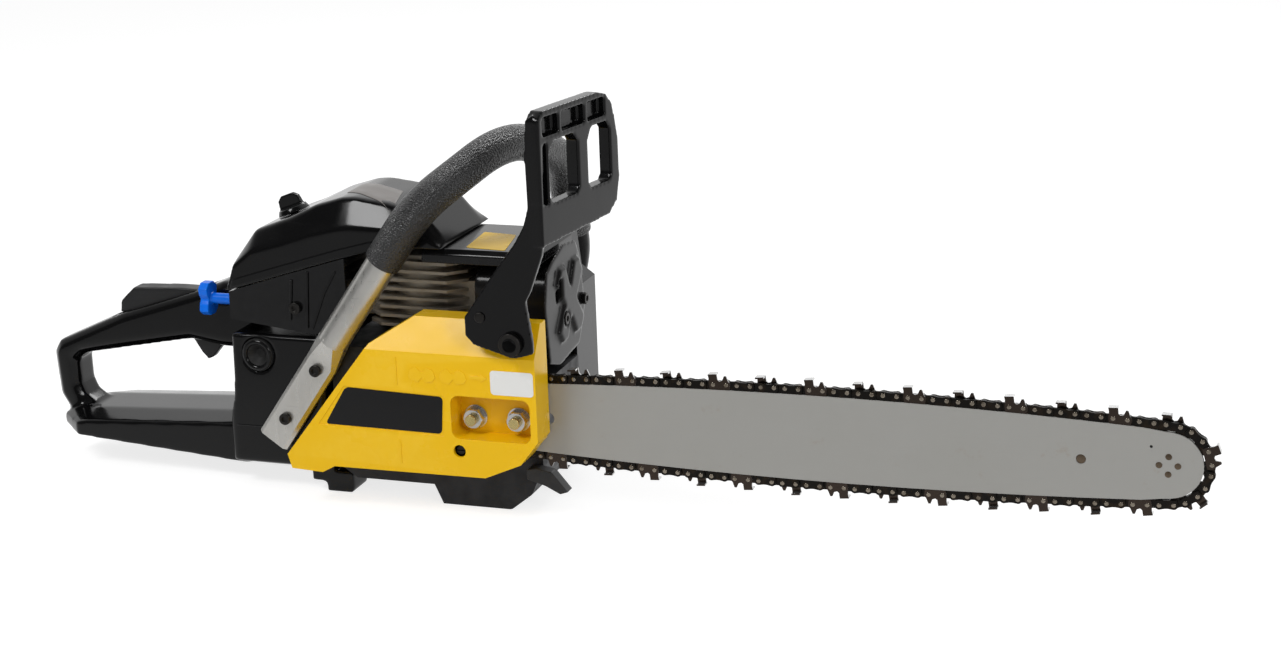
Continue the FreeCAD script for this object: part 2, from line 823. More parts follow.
def make_bearings():
    """A ball bearing and a lip seal in each half of the case."""
    pieces = []
    for side, sense in (("right", -1), ("left", 1)):
        start = f"-{BEARING_OUT}" if sense < 0 else BEARING_IN
        ring = rod(f"bearing_{side}", "y", ("0", start, "crank_height"), "bearing_dia / 2", "bearing_width")
        bore = rod(f"bearing_bore_{side}", "y", ("0", f"{start} - overrun", "crank_height"),
                   "shaft_dia / 2 + running_gap", "bearing_width + 2 * overrun")
        face = f"-{BEARING_IN} - bearing_groove_depth" if sense < 0 else f"{BEARING_IN}"
        track = rod(f"bearing_track_{side}", "y", ("0", face, "crank_height"),
                    "bearing_dia / 2 - bearing_groove", "bearing_groove_depth")
        island = rod(f"bearing_island_{side}", "y", ("0", face, "crank_height"),
                     "shaft_dia / 2 + bearing_groove", "bearing_groove_depth")
        shield = cut(f"bearing_shield_{side}", track, island)
        pieces.append(cut(f"bearing_ring_{side}", ring, bore, shield))
        lip = f"-({BEARING_OUT} + bearing_groove)" if sense < 0 else f"{BEARING_OUT} + seal_gap"
        width = "bearing_groove - seal_gap"
        seal = rod(f"seal_{side}", "y", ("0", lip, "crank_height"), "bearing_dia / 2 - bearing_groove",
                   width)
        through = rod(f"seal_bore_{side}", "y", ("0", f"{lip} - overrun", "crank_height"),
                      "shaft_dia / 2 + running_gap", f"{width} + 2 * overrun")
        pieces.append(cut(f"seal_ring_{side}", seal, through))
    group = doc.addObject("Part::Compound", "bearings_body")
    group.Links = pieces
    sub_part(group, "crank_bearings")


def shaft_bores(bench, outer):
    """Crank chamber, bearing seat, seal seat and shaft hole in one half of the case."""
    sense = -1 if outer.startswith("-") else 1
    def reach(start, end):
        return (f"-({end})", f"-({start})") if sense < 0 else (start, end)
    centre = ("0", "crank_height")
    bench.hole("XZ", centre, reach("0", BEARING_IN), "crank_chamber_dia")
    bench.hole("XZ", centre, reach(BEARING_IN, BEARING_OUT), "bearing_dia")
    bench.hole("XZ", centre, reach(BEARING_OUT, f"{BEARING_OUT} + bearing_groove"),
               "bearing_dia - 2 * bearing_groove")
    return reach


CASE_TOP_SHARES = [(1, 0.82), (0.68, 0.88), (0.64, 1), (0, 1)]
OIL_TANK_SHARES = [(0.51, 0), (0.84, 0), (0.94, 0.11), (1, 0.3), (1, 0.36), (0.51, 0.36)]
CASE_RIGHT_SHARES = [(0, 0.21), (0.09, 0.125), (0.47, 0.125)] + OIL_TANK_SHARES[:4] + CASE_TOP_SHARES
CASE_LEFT_SHARES = [(0, 0.21), (0.09, 0.07), (0.47, 0.07), (0.47, 0.38), (1, 0.38)] + CASE_TOP_SHARES
OIL_HOLLOW_SHARES = [(0.54, 0.04), (0.82, 0.04), (0.91, 0.13), (0.97, 0.3), (0.97, 0.32), (0.54, 0.32)]
CASE_SPANS = ("case_length", "case_top")
SLEEVE_HOLE = "sleeve_dia + 2 * part_gap"
COIL_Z = "crank_height + flywheel_dia / 2 + coil_gap"


def make_case_right():
    """Right half of the crankcase with the bar pad and the oil tank."""
    case = Bench("case_right")
    case.pad("XZ", ("-case_rear", "0"), ("-case_right_depth", "0"), CASE_SPANS, CASE_RIGHT_SHARES)
    blank = case.pad("XZ", ("-case_rear", "0"), ("0", "oil_tank_left"), CASE_SPANS, OIL_TANK_SHARES)
    low = edges_along(blank.Shape, V(0, 1, 0), lambda p: p.z < n.case_top * 0.34 and p.x > n.case_rear)
    case.dress("Fillet", blank, low, "case_edge_round")
    case.pad("XZ", ("bar_pad_start", "crank_height - bar_pad_height / 2"),
             ("-(case_right_depth + bar_pad_depth)", "-case_right_depth"), ("bar_pad_length",
                                                                            "bar_pad_height"),
             SQUARE_SHARES)
    shaft_bores(case, "-")
    case.hole("XZ", ("0", "crank_height"), ("-(case_right_depth + overrun)", "0"), "shaft_dia + overrun")
    case.hole("XZ", ("0", "crank_height"), ("-(case_right_depth + overrun)",
                                            "-(case_right_depth - pump_recess_depth)"),
              "pump_recess_dia")
    case.hole("XY", ("0", "0"), ("crank_height", "case_top + overrun"), SLEEVE_HOLE)
    case.pocket("XZ", ("-case_rear", "0"), ("-(case_right_depth - oil_tank_wall)",
                                            "oil_tank_left - oil_tank_wall"),
                CASE_SPANS, OIL_HOLLOW_SHARES)
    case.round_pad("XZ", ("oil_neck_x", "oil_neck_height"),
                   ("oil_tank_left", "oil_tank_left + oil_neck_length"),
                   "oil_neck_dia")
    case.hole("XZ", ("oil_neck_x", "oil_neck_height"),
              ("oil_tank_left - oil_tank_wall - overrun",
               "oil_tank_left + oil_neck_length + overrun"), "oil_neck_bore")
    for step in range(2):
        case.hole("XZ", (f"stud_x + {step} * stud_spacing", "crank_height"),
                  ("-(case_right_depth + bar_pad_depth + overrun)", "-(case_right_depth - stud_seat)"),
                  "stud_dia")
    case.done("crankcase_right")


def make_case_left():
    """Left half of the crankcase."""
    case = Bench("case_left")
    blank = case.pad("XZ", ("-case_rear", "0"), ("0", "case_left_depth"), CASE_SPANS, CASE_LEFT_SHARES)
    low = edges_along(blank.Shape, V(0, 1, 0), lambda p: p.z < n.case_top / 4)
    case.dress("Fillet", blank, low, "case_edge_round")
    shaft_bores(case, "")
    case.hole("XZ", ("0", "crank_height"), ("0", "case_left_depth + overrun"), "shaft_dia + overrun")
    case.hole("XY", ("0", "0"), ("crank_height", "case_top + overrun"), SLEEVE_HOLE)
    for side in ("coil_x - coil_width / 2", "coil_x + coil_width / 2 - coil_leg"):
        case.pad("XZ", (side, "case_top - coil_post_height / 3"),
                 ("case_left_depth - coil_post_depth", "flywheel_start - part_gap"),
                 ("coil_leg", "coil_post_height"), SQUARE_SHARES)
        case.pad("XZ", (side, f"{COIL_Z} + part_gap"),
                 ("case_left_depth", "flywheel_start + flywheel_disc / 2 - part_gap"),
                 ("coil_leg", "coil_lug_height"), SQUARE_SHARES)
    case.done("crankcase_left")


def tilted(name, start, end, radius, end_radius=None):
    """A round or tapered bar along the spark plug's line, between two distances from its seat."""
    kind = "Part::Cylinder" if end_radius is None else "Part::Cone"
    bar = doc.addObject(kind, name)
    bar.Placement = FreeCAD.Placement(V(), FreeCAD.Rotation(V(0, -1, 0), n.plug_tilt))
    bind(bar, Height=f"({end}) - ({start})", Placement__Rotation__Angle="plug_tilt")
    if end_radius is None:
        bind(bar, Radius=radius)
    else:
        bind(bar, Radius1=radius, Radius2=end_radius)
    bind(bar, Placement__Base__x=f"-plug_seat_x - sin(plug_tilt * 1 deg) * ({start}) - rest_to_crank")
    bind(bar, Placement__Base__z=f"plug_seat_height + cos(plug_tilt * 1 deg) * ({start})")
    return bar


FIN_SHARES = [(0.16, 0), (0.84, 0), (1, 0.16), (1, 0.84), (0.84, 1), (0.16, 1), (0, 0.84), (0, 0.16)]


def make_cylinder():
    """Cylinder with its fins, ports, flanges and spark plug boss."""
    cylinder = Bench("cylinder_casting")
    axis = ("0", "0")
    cylinder.round_pad("XY", axis, ("case_top - sleeve_drop", "case_top + overrun"), "sleeve_dia")
    half = "cylinder_base_half"
    cylinder.pad("XY", (f"-{half}", f"-{half}"), ("case_top", "case_top + cylinder_base_height"),
                 (half, half),
                 [(2 * u, 2 * v) for u, v in FIN_SHARES])
    cylinder.round_pad("XY", axis, ("case_top", "head_top"), "barrel_dia")
    cylinder.pad("XZ", ("-intake_flange_x", "intake_height - flange_height / 2"),
                 ("-flange_width / 2", "flange_width / 2"), ("intake_flange_x",
                                                             "flange_height"), SQUARE_SHARES)
    cylinder.pad("XZ", ("0", "exhaust_port_height - flange_height / 2"),
                 ("-flange_width / 2", "flange_width / 2"),
                 ("exhaust_flange_x", "flange_height"), SQUARE_SHARES)
    for count in range(int(n.fin_count)):
        level = f"head_top - fin_start - fin_thickness - {count} * fin_pitch"
        cylinder.pad("XY", ("-fin_half_length", "-fin_half_width"), (level, f"{level} + fin_thickness"),
                     ("fin_half_length", "fin_half_width"), [(2 * u, 2 * v) for u, v in FIN_SHARES])
    boss = tilted("plug_boss", "-plug_thread_length", "0", "plug_hex * 0.6")
    bore = rod("cylinder_bore", "z", ("0", "0", "crank_height"), "bore_dia / 2",
               "head_top - head_wall - crank_height")
    well = tilted("plug_well", "0", "plug_well_dia * 2", "plug_well_dia / 2")
    thread = tilted("plug_thread_hole", "-plug_thread_length - overrun", "overrun", "plug_thread_dia / 2")
    ports = [
        box("intake_port", ("-intake_flange_x - overrun", "0"), ("-carb_bore / 2", "carb_bore / 2"),
            ("intake_height - port_height / 2", "intake_height + port_height / 2")),
        box("exhaust_port", ("0", "exhaust_flange_x + overrun"), ("-port_width / 2", "port_width / 2"),
            ("exhaust_port_height - port_height / 2", "exhaust_port_height + port_height / 2")),
    ]
    wells = cut("cylinder_welled", cylinder.body, well)
    joined = fuse("cylinder_joined", wells, boss)
    sub_part(cut("cylinder_body", joined, bore, thread, *ports), "cylinder")


def make_spark_plug():
    """Spark plug with its hexagon and the moulded cap on its terminal."""
    thread = tilted("plug_thread", "-plug_thread_length", "0", "plug_thread_dia / 2")
    nut = tilted("plug_nut", "0", "plug_hex_length", "plug_hex / 2")
    body = tilted("plug_insulator", "0", "plug_hex_length + plug_insulator_length",
                  "plug_insulator_dia / 2")
    sub_part(fuse("plug_body", thread, nut, body), "spark_plug")


def bent_path(points, radii):
    """Straight runs joined by tangent arcs at the inner points."""
    edges = []
    start = points[0]
    for before, corner, after, radius in zip(points, points[1:], points[2:], radii):
        incoming = (corner - before).normalize()
        outgoing = (after - corner).normalize()
        turn = incoming.getAngle(outgoing)
        setback = radius * math.tan(turn / 2)
        enter = corner - incoming * setback
        leave = corner + outgoing * setback
        bisector = (outgoing - incoming).normalize()
        centre = corner + bisector * (radius / math.cos(turn / 2))
        middle = centre - bisector * radius
        edges.append(Part.LineSegment(start, enter).toShape())
        edges.append(Part.Arc(enter, middle, leave).toShape())
        start = leave
    edges.append(Part.LineSegment(start, points[-1]).toShape())
    return Part.Wire(edges)


def open_radii(points, share=0.45):
    """The largest arcs that the runs beside each inner point allow."""
    radii = []
    for before, corner, after in zip(points, points[1:], points[2:]):
        turn = (corner - before).getAngle(after - corner)
        radii.append(share * min((corner - before).Length, (after - corner).Length) / math.tan(turn / 2))
    return radii


def tube_along(path, radius):
    """A round solid swept along a path."""
    first = path.Edges[0]
    start = first.valueAt(first.FirstParameter)
    heading = first.tangentAt(first.FirstParameter)
    profile = Part.Wire(Part.makeCircle(radius, start, heading))
    swept = path.makePipeShell([profile], True, False)
    expected = math.pi * radius ** 2 * path.Length
    print(f"tube volume over section times length: {swept.Volume / expected:.4f}")
    return swept


def lead_route():
    """Line of the high-tension lead from the plug's cap to the top of the coil."""
    tilt = math.radians(n.plug_tilt)
    along = V(-math.sin(tilt), 0, math.cos(tilt))
    side = V(0, 1, 0)
    cap = V(-n.plug_seat_x, 0, n.plug_seat_height) + along * (n.plug_hex_length + n.plug_cap_length * 0.7)
    coil_y = n.flywheel_start + (n.flywheel_disc + n.coil_depth) / 2
    coil_z = n.crank_height + n.flywheel_dia / 2 + n.coil_gap + n.coil_height
    start = cap + side * (n.plug_cap_dia / 2 - n.part_gap)
    end = V(n.coil_x, coil_y, coil_z + n.part_gap)
    lift = n.lead_dia * 2
    points = [
        start,
        start + side * lift,
        V((start.x * 2 + end.x) / 3, end.y - lift / 4, (start.z * 2 + end.z) / 3),
        V((start.x + end.x * 2) / 3, end.y, (start.z + end.z * 2) / 3 + lift / 4),
        end + V(0, 0, lift / 2),
        end,
    ]
    radii = open_radii(points)
    print("lead radii", [round(radius, 1) for radius in radii])
    return bent_path(points, radii)


def make_plug_lead():
    """Cap on the spark plug and the high-tension lead from it to the coil."""
    tilt = math.radians(n.plug_tilt)
    seat = V(-n.plug_seat_x, 0, n.plug_seat_height)
    along = V(-math.sin(tilt), 0, math.cos(tilt))
    reach = n.plug_hex_length + n.plug_insulator_length
    low = seat + along * (n.plug_hex_length + n.part_gap)
    shell = Part.makeCylinder(n.plug_cap_dia / 2, n.plug_cap_length, low, along)
    bore = Part.makeCylinder(n.plug_insulator_dia / 2, reach, seat, along)
    lead = tube_along(lead_route(), n.lead_dia / 2)
    sub_part(solid("lead_body", shell.fuse(lead).cut(bore)), "spark_plug_lead")


def make_flywheel():
    """Flywheel with its rim, hub and curved ring of fan blades."""
    start = "flywheel_start"
    disc = rod("flywheel_disc_blank", "y", ("0", start, "crank_height"), "flywheel_dia / 2",
               "flywheel_disc + flywheel_rim")
    hollow = rod("flywheel_hollow", "y", ("0", f"{start} + flywheel_disc", "crank_height"),
                 "flywheel_dia / 2 - flywheel_rim_wall", "flywheel_rim + overrun")
    hub = rod("flywheel_hub", "y", ("0", start, "crank_height"), "flywheel_hub_dia / 2",
              "flywheel_hub_length")
    blade = box("fan_blade", ("flywheel_dia / 2 - flywheel_rim_wall - fan_blade_length",
                              "flywheel_dia / 2 - overrun / 2"),
                ("flywheel_start + flywheel_disc / 2", "flywheel_start + flywheel_disc + fan_blade_height"),
                ("crank_height - fan_blade_thickness / 2", "crank_height + fan_blade_thickness / 2"))
    doc.recompute()
    hub_point = V(-n.rest_to_crank, 0, n.crank_height)
    total = int(n.fan_blade_count)
    ring = []
    for count in range(total):
        turned = blade.Shape.copy()
        turned.rotate(hub_point, V(0, 1, 0), 360 * count / total)
        ring.append(turned)
    fan = doc.addObject("Part::Feature", "fan_ring")
    fan.Shape = ring[0].multiFuse(ring[1:])
    blank = cut("flywheel_cup", disc, hollow)
    joined = fuse("flywheel_joined", blank, hub, fan)
    bore = rod("flywheel_bore", "y", ("0", f"{start} - overrun", "crank_height"), "taper_dia / 2",
               "flywheel_hub_length + 2 * overrun")
    sub_part(cut("flywheel_body", joined, bore), "flywheel")


def make_coil():
    """Ignition coil on a two-legged core above the flywheel's rim."""
    left, right = "coil_x - coil_width / 2", "coil_x + coil_width / 2"
    depth = ("flywheel_start + flywheel_disc / 2", "flywheel_start + flywheel_disc / 2 + coil_depth")
    core = box("coil_core", (left, right), depth, (COIL_Z, f"{COIL_Z} + coil_height"))
    window = box("coil_window", (f"{left} + coil_leg", f"{right} - coil_leg"),
                 (f"{depth[0]} - overrun", f"{depth[1]} + overrun"), (f"{COIL_Z} - overrun",
                                                                      f"{COIL_Z} + coil_leg"))
    wheel = rod("coil_wheel", "y", ("0", f"{depth[0]} - overrun", "crank_height"),
                "flywheel_dia / 2 + coil_gap",
                "coil_depth + 2 * overrun")
    sub_part(cut("coil_body", core, window, wheel), "ignition_coil")


STARTER_SHARES = [(0, 0.14), (0.12, 0), (0.63, 0), (0.67, 0.21), (1, 0.21), (1, 0.94), (0.93, 1), (0.06, 1),
                  (0, 0.92)]
SHOULDER_SHARES = [(0, 0), (1, 0), (0.97, 1), (0.08, 1)]


def make_starter_housing():
    """Starter side housing with air slots, the pulley post and the rope's eye."""
    housing = Bench("starter_case")
    corner = ("-starter_rear", "starter_bottom")
    outer = ("starter_start", "starter_start + starter_depth")
    inner = ("starter_start - overrun", "starter_start + starter_depth - starter_wall")
    spans = ("starter_length", "starter_height")
    blank = housing.pad("XZ", corner, outer, spans, STARTER_SHARES)
    face = [f"Edge{i}" for i, edge in enumerate(blank.Shape.Edges, start=1)
            if abs(edge.BoundBox.YMin - n.starter_start - n.starter_depth) < 1e-6
            and abs(edge.BoundBox.YMax - n.starter_start - n.starter_depth) < 1e-6]
    housing.dress("Chamfer", blank, face, "starter_round")
    shoulder_x = "starter_length + -starter_rear - starter_shoulder_length"
    top = "starter_bottom + starter_height"
    housing.pad("XZ", (shoulder_x, f"{top} - overrun"),
                ("starter_start", "starter_start + starter_shoulder_depth"),
                ("starter_shoulder_length", "starter_shoulder_height"), SHOULDER_SHARES)
    base = housing.body.Tip
    doc.recompute()
    wall = "starter_wall"
    inside = solid("starter_inside", slab_xz(
        span_points(STARTER_SHARES, (n.starter_wall - n.starter_rear, n.starter_bottom + n.starter_wall),
                    (n.starter_length - 2 * n.starter_wall, n.starter_height - 2 * n.starter_wall)),
        n.starter_start - n.overrun, n.starter_start + n.starter_depth - n.starter_wall - n.starter_round))
    inset = n.starter_wall + n.starter_round
    dome = solid("starter_dome", slab_xz(
        span_points(STARTER_SHARES, (inset - n.starter_rear, n.starter_bottom + inset),
                    (n.starter_length - 2 * inset, n.starter_height - 2 * inset)),
        n.starter_start, n.starter_start + n.starter_depth - n.starter_wall))
    upper = solid("starter_upper", slab_xz(
        span_points(SHOULDER_SHARES,
                    (n.starter_length - n.starter_rear - n.starter_shoulder_length + n.starter_wall,
                     n.starter_bottom + n.starter_height - n.starter_wall - n.overrun),
                    (n.starter_shoulder_length - 2 * n.starter_wall, n.starter_shoulder_height)),
        n.starter_start - n.overrun, n.starter_start + n.starter_shoulder_depth - n.starter_wall))
    post = rod("starter_post", "y", ("0", "pulley_start - overrun", "crank_height"),
               "pulley_bore / 2 - running_gap",
               "starter_start + starter_depth - pulley_start + overrun - starter_wall / 2")
    eye = rod("rope_eye", "z", ("pulley_core_dia / 2", "pulley_start + pulley_width / 2",
                                f"{top} - 2 * starter_wall"), "rope_dia", "starter_wall * 4")
    slots = []
    for count in range(int(n.vent_count)):
        middle = f"({count} - (vent_count - 1) / 2) * vent_pitch"
        slots.append(box(f"vent{count}", (f"{middle} - vent_width / 2", f"{middle} + vent_width / 2"),
                         ("starter_start + starter_depth - 2 * starter_wall",
                          "starter_start + starter_depth + overrun"),
                         ("crank_height - vent_height / 2", "crank_height + vent_height / 2")))
    hub = rod("vent_hub", "y", ("0", "starter_start + starter_depth - 3 * starter_wall", "crank_height"),
              "vent_height / 4", "4 * starter_wall")
    openings = cut("vents", fuse("vent_slots", *slots), hub)
    lead_way = solid("lead_way", tube_along(lead_route(), n.lead_dia / 2 + n.part_gap))
    shell = cut("starter_shell", housing.body, inside, dome, upper, eye, openings, lead_way,
                *screw_holes("starter"))
    sub_part(fuse("starter_body", shell, post), "starter_housing")


def make_pulley():
    """Starter pulley with its rope groove."""
    middle = "pulley_start + (pulley_width - pulley_groove_width) / 2"
    disc = rod("pulley_blank", "y", ("0", "pulley_start", "crank_height"), "pulley_dia / 2", "pulley_width")
    groove = rod("pulley_groove", "y", ("0", middle, "crank_height"), "pulley_dia / 2 + overrun",
                 "pulley_groove_width")
    core = rod("pulley_core", "y", ("0", middle, "crank_height"),
               "pulley_core_dia / 2 - rope_dia / 2 - part_gap", "pulley_groove_width")
    bore = rod("pulley_hole", "y", ("0", "pulley_start - overrun", "crank_height"), "pulley_bore / 2",
               "pulley_width + 2 * overrun")
    sub_part(cut("pulley_body", disc, cut("pulley_ring", groove, core), bore), "starter_pulley")


def spiral_edges(inner, pitch, turns, level, centre):
    """Half circles that grow by half a pitch each, from the inside out."""
    edges = []
    radius = inner
    offset = 0.0
    for half in range(int(turns * 2)):
        sense = 1 if half % 2 == 0 else -1
        middle = V(centre.x + offset, level, centre.z)
        start = middle + V(-sense * radius, 0, 0)
        end = middle + V(sense * radius, 0, 0)
        crest = middle + V(0, 0, sense * radius)
        edges.append(Part.Arc(start, crest, end).toShape())
        radius += pitch / 4
        offset += -sense * pitch / 4
    return edges


def make_recoil_spring():
    """Flat spiral spring that winds the rope back."""
    level = n.pulley_start + n.pulley_width + n.part_gap
    centre = V(0, 0, n.crank_height)
    pitch = (n.spring_outer_dia - n.spring_inner_dia) / 2 / n.spring_turns
    inside = spiral_edges(n.spring_inner_dia / 2, pitch, n.spring_turns, level, centre)
    outside = spiral_edges(n.spring_inner_dia / 2 + n.spring_strip, pitch, n.spring_turns, level, centre)
    ends = [(inside[0].Vertexes[0].Point, outside[0].Vertexes[0].Point),
            (inside[-1].Vertexes[1].Point, outside[-1].Vertexes[1].Point)]
    joins = [Part.LineSegment(a, b).toShape() for a, b in ends]
    outline = Part.Wire(Part.__sortEdges__(inside + outside + joins))
    strip = Part.Face(outline).extrude(V(0, n.spring_width, 0))
    sub_part(solid("spring_body", strip), "recoil_spring")


def make_rope_and_grip():
    """Starter rope from the pulley to its grip, and the grip itself."""
    x, y = n.pulley_core_dia / 2, n.pulley_start + n.pulley_width / 2
    top = n.starter_bottom + n.starter_height
    radius = n.rope_dia / 2
    below = V(0, y, n.crank_height - x)
    turn = Part.Arc(V(-x, y, n.crank_height), below, V(x, y, n.crank_height)).toShape()
    end = V(x, y, top + n.starter_grip_height * 0.75)
    run = Part.LineSegment(V(x, y, n.crank_height), end).toShape()
    sub_part(solid("rope_body", tube_along(Part.Wire([turn, run]), radius)), "starter_rope")
    low = top + n.part_gap
    half, across = n.starter_grip_length / 2, n.starter_grip_width / 2
    outline = [(x - half, low), (x + half, low), (x + half, low + n.starter_grip_height * 0.6),
               (x + half * 0.8, low + n.starter_grip_height), (x - half * 0.8, low + n.starter_grip_height),
               (x - half, low + n.starter_grip_height * 0.6)]
    bar = slab_xz(outline, y - across, y + across)
    long_edges = [edge for edge in bar.Edges if abs(edge.BoundBox.YLength) < n.part_gap]
    bar = bar.makeFillet(across * 0.4, long_edges)
    hole = Part.makeCylinder(radius, n.starter_grip_height * 0.75, V(x, y, low - n.part_gap))
    sub_part(solid("grip_body", bar.cut(hole)), "starter_grip")


def ring_y(name, centre, start, length, outer, inner):
    """A round ring along y."""
    blank = rod(f"{name}_blank", "y", (centre[0], start, centre[1]), outer, length)
    bore = rod(f"{name}_hole", "y", (centre[0], f"{start} - overrun", centre[1]), inner,
               f"{length} + 2 * overrun")
    return cut(name, blank, bore)


CRANK = ("0", "crank_height")


def turned_about_crank(shape, count):
    """Copies of a shape evenly round the crankshaft."""
    centre = V(-n.rest_to_crank, 0, n.crank_height)
    copies = []
    for index in range(count):
        copy = shape.copy()
        copy.rotate(centre, V(0, 1, 0), 360 * index / count)
        copies.append(copy)
    return copies


CLUTCH_START = "-(drum_web_y + drum_depth)"


def make_clutch():
    """Clutch hub with three arms, its shoes and the ring spring that holds them in."""
    arm = box("clutch_arm", ("0", "shoe_inner_dia / 2 - 2 * part_gap"),
              (CLUTCH_START, f"{CLUTCH_START} + clutch_hub_width"),
              ("crank_height - clutch_arm_width / 2", "crank_height + clutch_arm_width / 2"))
    shoe_ring = ring_y("shoe_ring", CRANK, CLUTCH_START, "shoe_width", "shoe_outer_dia / 2",
                       "shoe_inner_dia / 2")
    groove = ring_y("shoe_groove", CRANK, f"{CLUTCH_START} - overrun", "clutch_spring_dia + overrun",
                    "shoe_outer_dia / 2 - clutch_spring_dia / 2",
                    "shoe_outer_dia / 2 - clutch_spring_dia * 1.5")
    slot = box("shoe_slot_blank", ("0", "shoe_outer_dia"), (f"{CLUTCH_START} - overrun", "0"),
               ("crank_height - shoe_slot / 2", "crank_height + shoe_slot / 2"))
    doc.recompute()
    arms = doc.addObject("Part::Feature", "clutch_arms")
    arms_list = turned_about_crank(arm.Shape, 3)
    arms.Shape = arms_list[0].multiFuse(arms_list[1:])
    slots = doc.addObject("Part::Feature", "shoe_slots")
    slots_list = turned_about_crank(slot.Shape, 3)
    slots.Shape = slots_list[0].multiFuse(slots_list[1:])
    slots.Placement = FreeCAD.Placement(V(), FreeCAD.Rotation())
    boss = rod("clutch_boss", "y", ("0", CLUTCH_START, "crank_height"), "clutch_hub_dia / 2",
               "clutch_hub_width")
    bore = rod("clutch_bore", "y", ("0", f"{CLUTCH_START} - overrun", "crank_height"),
               "shaft_thread_dia / 2",
               "clutch_hub_width + 2 * overrun")
    sub_part(cut("clutch_hub_body", fuse("clutch_star", boss, arms), bore), "clutch_hub")
    sub_part(cut("clutch_shoes_body", shoe_ring, groove, slots), "clutch_shoes")
    spring = doc.addObject("Part::Torus", "clutch_spring_body")
    spring.Placement = FreeCAD.Placement(V(), FreeCAD.Rotation(V(1, 0, 0), 90))
    bind(spring, Radius1="shoe_outer_dia / 2 - clutch_spring_dia",
         Radius2="clutch_spring_dia / 2 - part_gap / 3")
    bind(spring, Placement__Base__x="-rest_to_crank", Placement__Base__z="crank_height")
    bind(spring, Placement__Base__y=f"{CLUTCH_START} + clutch_spring_dia / 2")
    sub_part(spring, "clutch_spring")


def make_drum(chain):
    """Clutch drum with the sprocket that drives the chain."""
    cup = rod("drum_cup", "y", ("0", CLUTCH_START, "crank_height"), "drum_dia / 2", "drum_depth")
    inside = rod("drum_inside", "y", ("0", f"{CLUTCH_START} - overrun", "crank_height"),
                 "drum_dia / 2 - drum_wall", "drum_depth + overrun - drum_wall")
    rim = Part.makeCylinder(chain.rim_radius, n.drum_web_y - n.bar_offset + n.sprocket_width / 2,
                            V(0, -n.drum_web_y, n.crank_height), V(0, 1, 0))
    trench = Part.makeCylinder(n.pulley_dia, n.sprocket_groove,
                               V(0, -n.bar_offset - n.sprocket_groove / 2, n.crank_height), V(0, 1, 0))
    core = Part.makeCylinder(n.sprocket_core_dia / 2, n.sprocket_groove,
                             V(0, -n.bar_offset - n.sprocket_groove / 2, n.crank_height), V(0, 1, 0))
    rims = rim.cut(trench.cut(core))
    teeth = []
    for angle in chain.tooth_angles():
        tooth = Part.makeBox(chain.rim_radius * 0.9, n.sprocket_groove, n.sprocket_tooth,
                             V(0, -n.bar_offset - n.sprocket_groove / 2,
                               n.crank_height - n.sprocket_tooth / 2))
        tooth.rotate(V(0, 0, n.crank_height), V(0, 1, 0), -math.degrees(angle))
        teeth.append(tooth)
    sprocket = solid("sprocket", rims.multiFuse(teeth))
    joined = fuse("drum_joined", cut("drum_shell", cup, inside), sprocket)
    bore = rod("drum_shaft_bore", "y", ("0", f"{CLUTCH_START} - overrun", "crank_height"), "drum_bore / 2",
               "drum_web_y + drum_depth")
    sub_part(cut("drum_body", joined, bore), "clutch_drum")


def make_oil_pump():
    """Chain oil pump with the worm that drives it."""
    face = "-(case_right_depth - pump_recess_depth) "
    body = box("pump_block", ("-pump_body_width / 2", "pump_body_width / 2"),
               (f"{face} - pump_body_depth", face),
               ("crank_height - pump_drop - pump_body_height / 2",
                "crank_height - pump_drop + pump_body_height / 2"))
    worm = ring_y("pump_worm", CRANK, f"{face} - worm_length", "worm_length", "worm_dia / 2",
                  "taper_dia / 2 + running_gap")
    group = doc.addObject("Part::Compound", "pump_body")
    group.Links = [body, worm]
    sub_part(group, "oil_pump")


def make_brake_band():
    """Steel band round the clutch drum with its two pulling ends."""
    start = f"{CLUTCH_START} + (drum_depth - brake_band_width) / 2"
    inner = "drum_dia / 2 + brake_band_gap"
    outer = f"{inner} + brake_band_thickness"
    band = ring_y("band_ring", CRANK, start, "brake_band_width", outer, inner)
    opening = box("band_opening", ("drum_dia * 0.1", "drum_dia * 0.35"),
                  (f"{start} - overrun", f"{start} + brake_band_width + overrun"),
                  ("crank_height + drum_dia * 0.2", "crank_height + drum_dia"))
    lug = box("band_lug", ("drum_dia * 0.1 - brake_band_thickness", "drum_dia * 0.1"),
              (start, f"{start} + brake_band_width"),
              (f"crank_height + {inner}", f"crank_height + {inner} + brake_band_width / 2"))
    sub_part(fuse("band_body", cut("band_open", band, opening), lug), "brake_band")


COVER_SHARES = [(0, 0.1), (0.015, 0.01), (0.14, 0), (0.19, 0.045), (0.79, 0.05), (0.93, 0.15), (1, 0.3),
                (1, 1), (0.515, 1), (0.355, 0.84)]
LABEL_SHARES = [(0.22, 1), (1, 0.93), (0.975, 0), (0, 0.06)]
LINK_SHARES = [(0, 0.35), (0.1, 0.1), (0.35, 0), (0.5, 0.3), (0.65, 0), (0.9, 0.1), (1, 0.35), (0.92, 0.75),
               (0.7, 0.9), (0.55, 0.65), (0.45, 0.65), (0.3, 0.9), (0.08, 0.75)]
ARROW_SHARES = [(0, 0.3), (0.6, 0.3), (0.6, 0), (1, 0.5), (0.6, 1), (0.6, 0.7), (0, 0.7)]


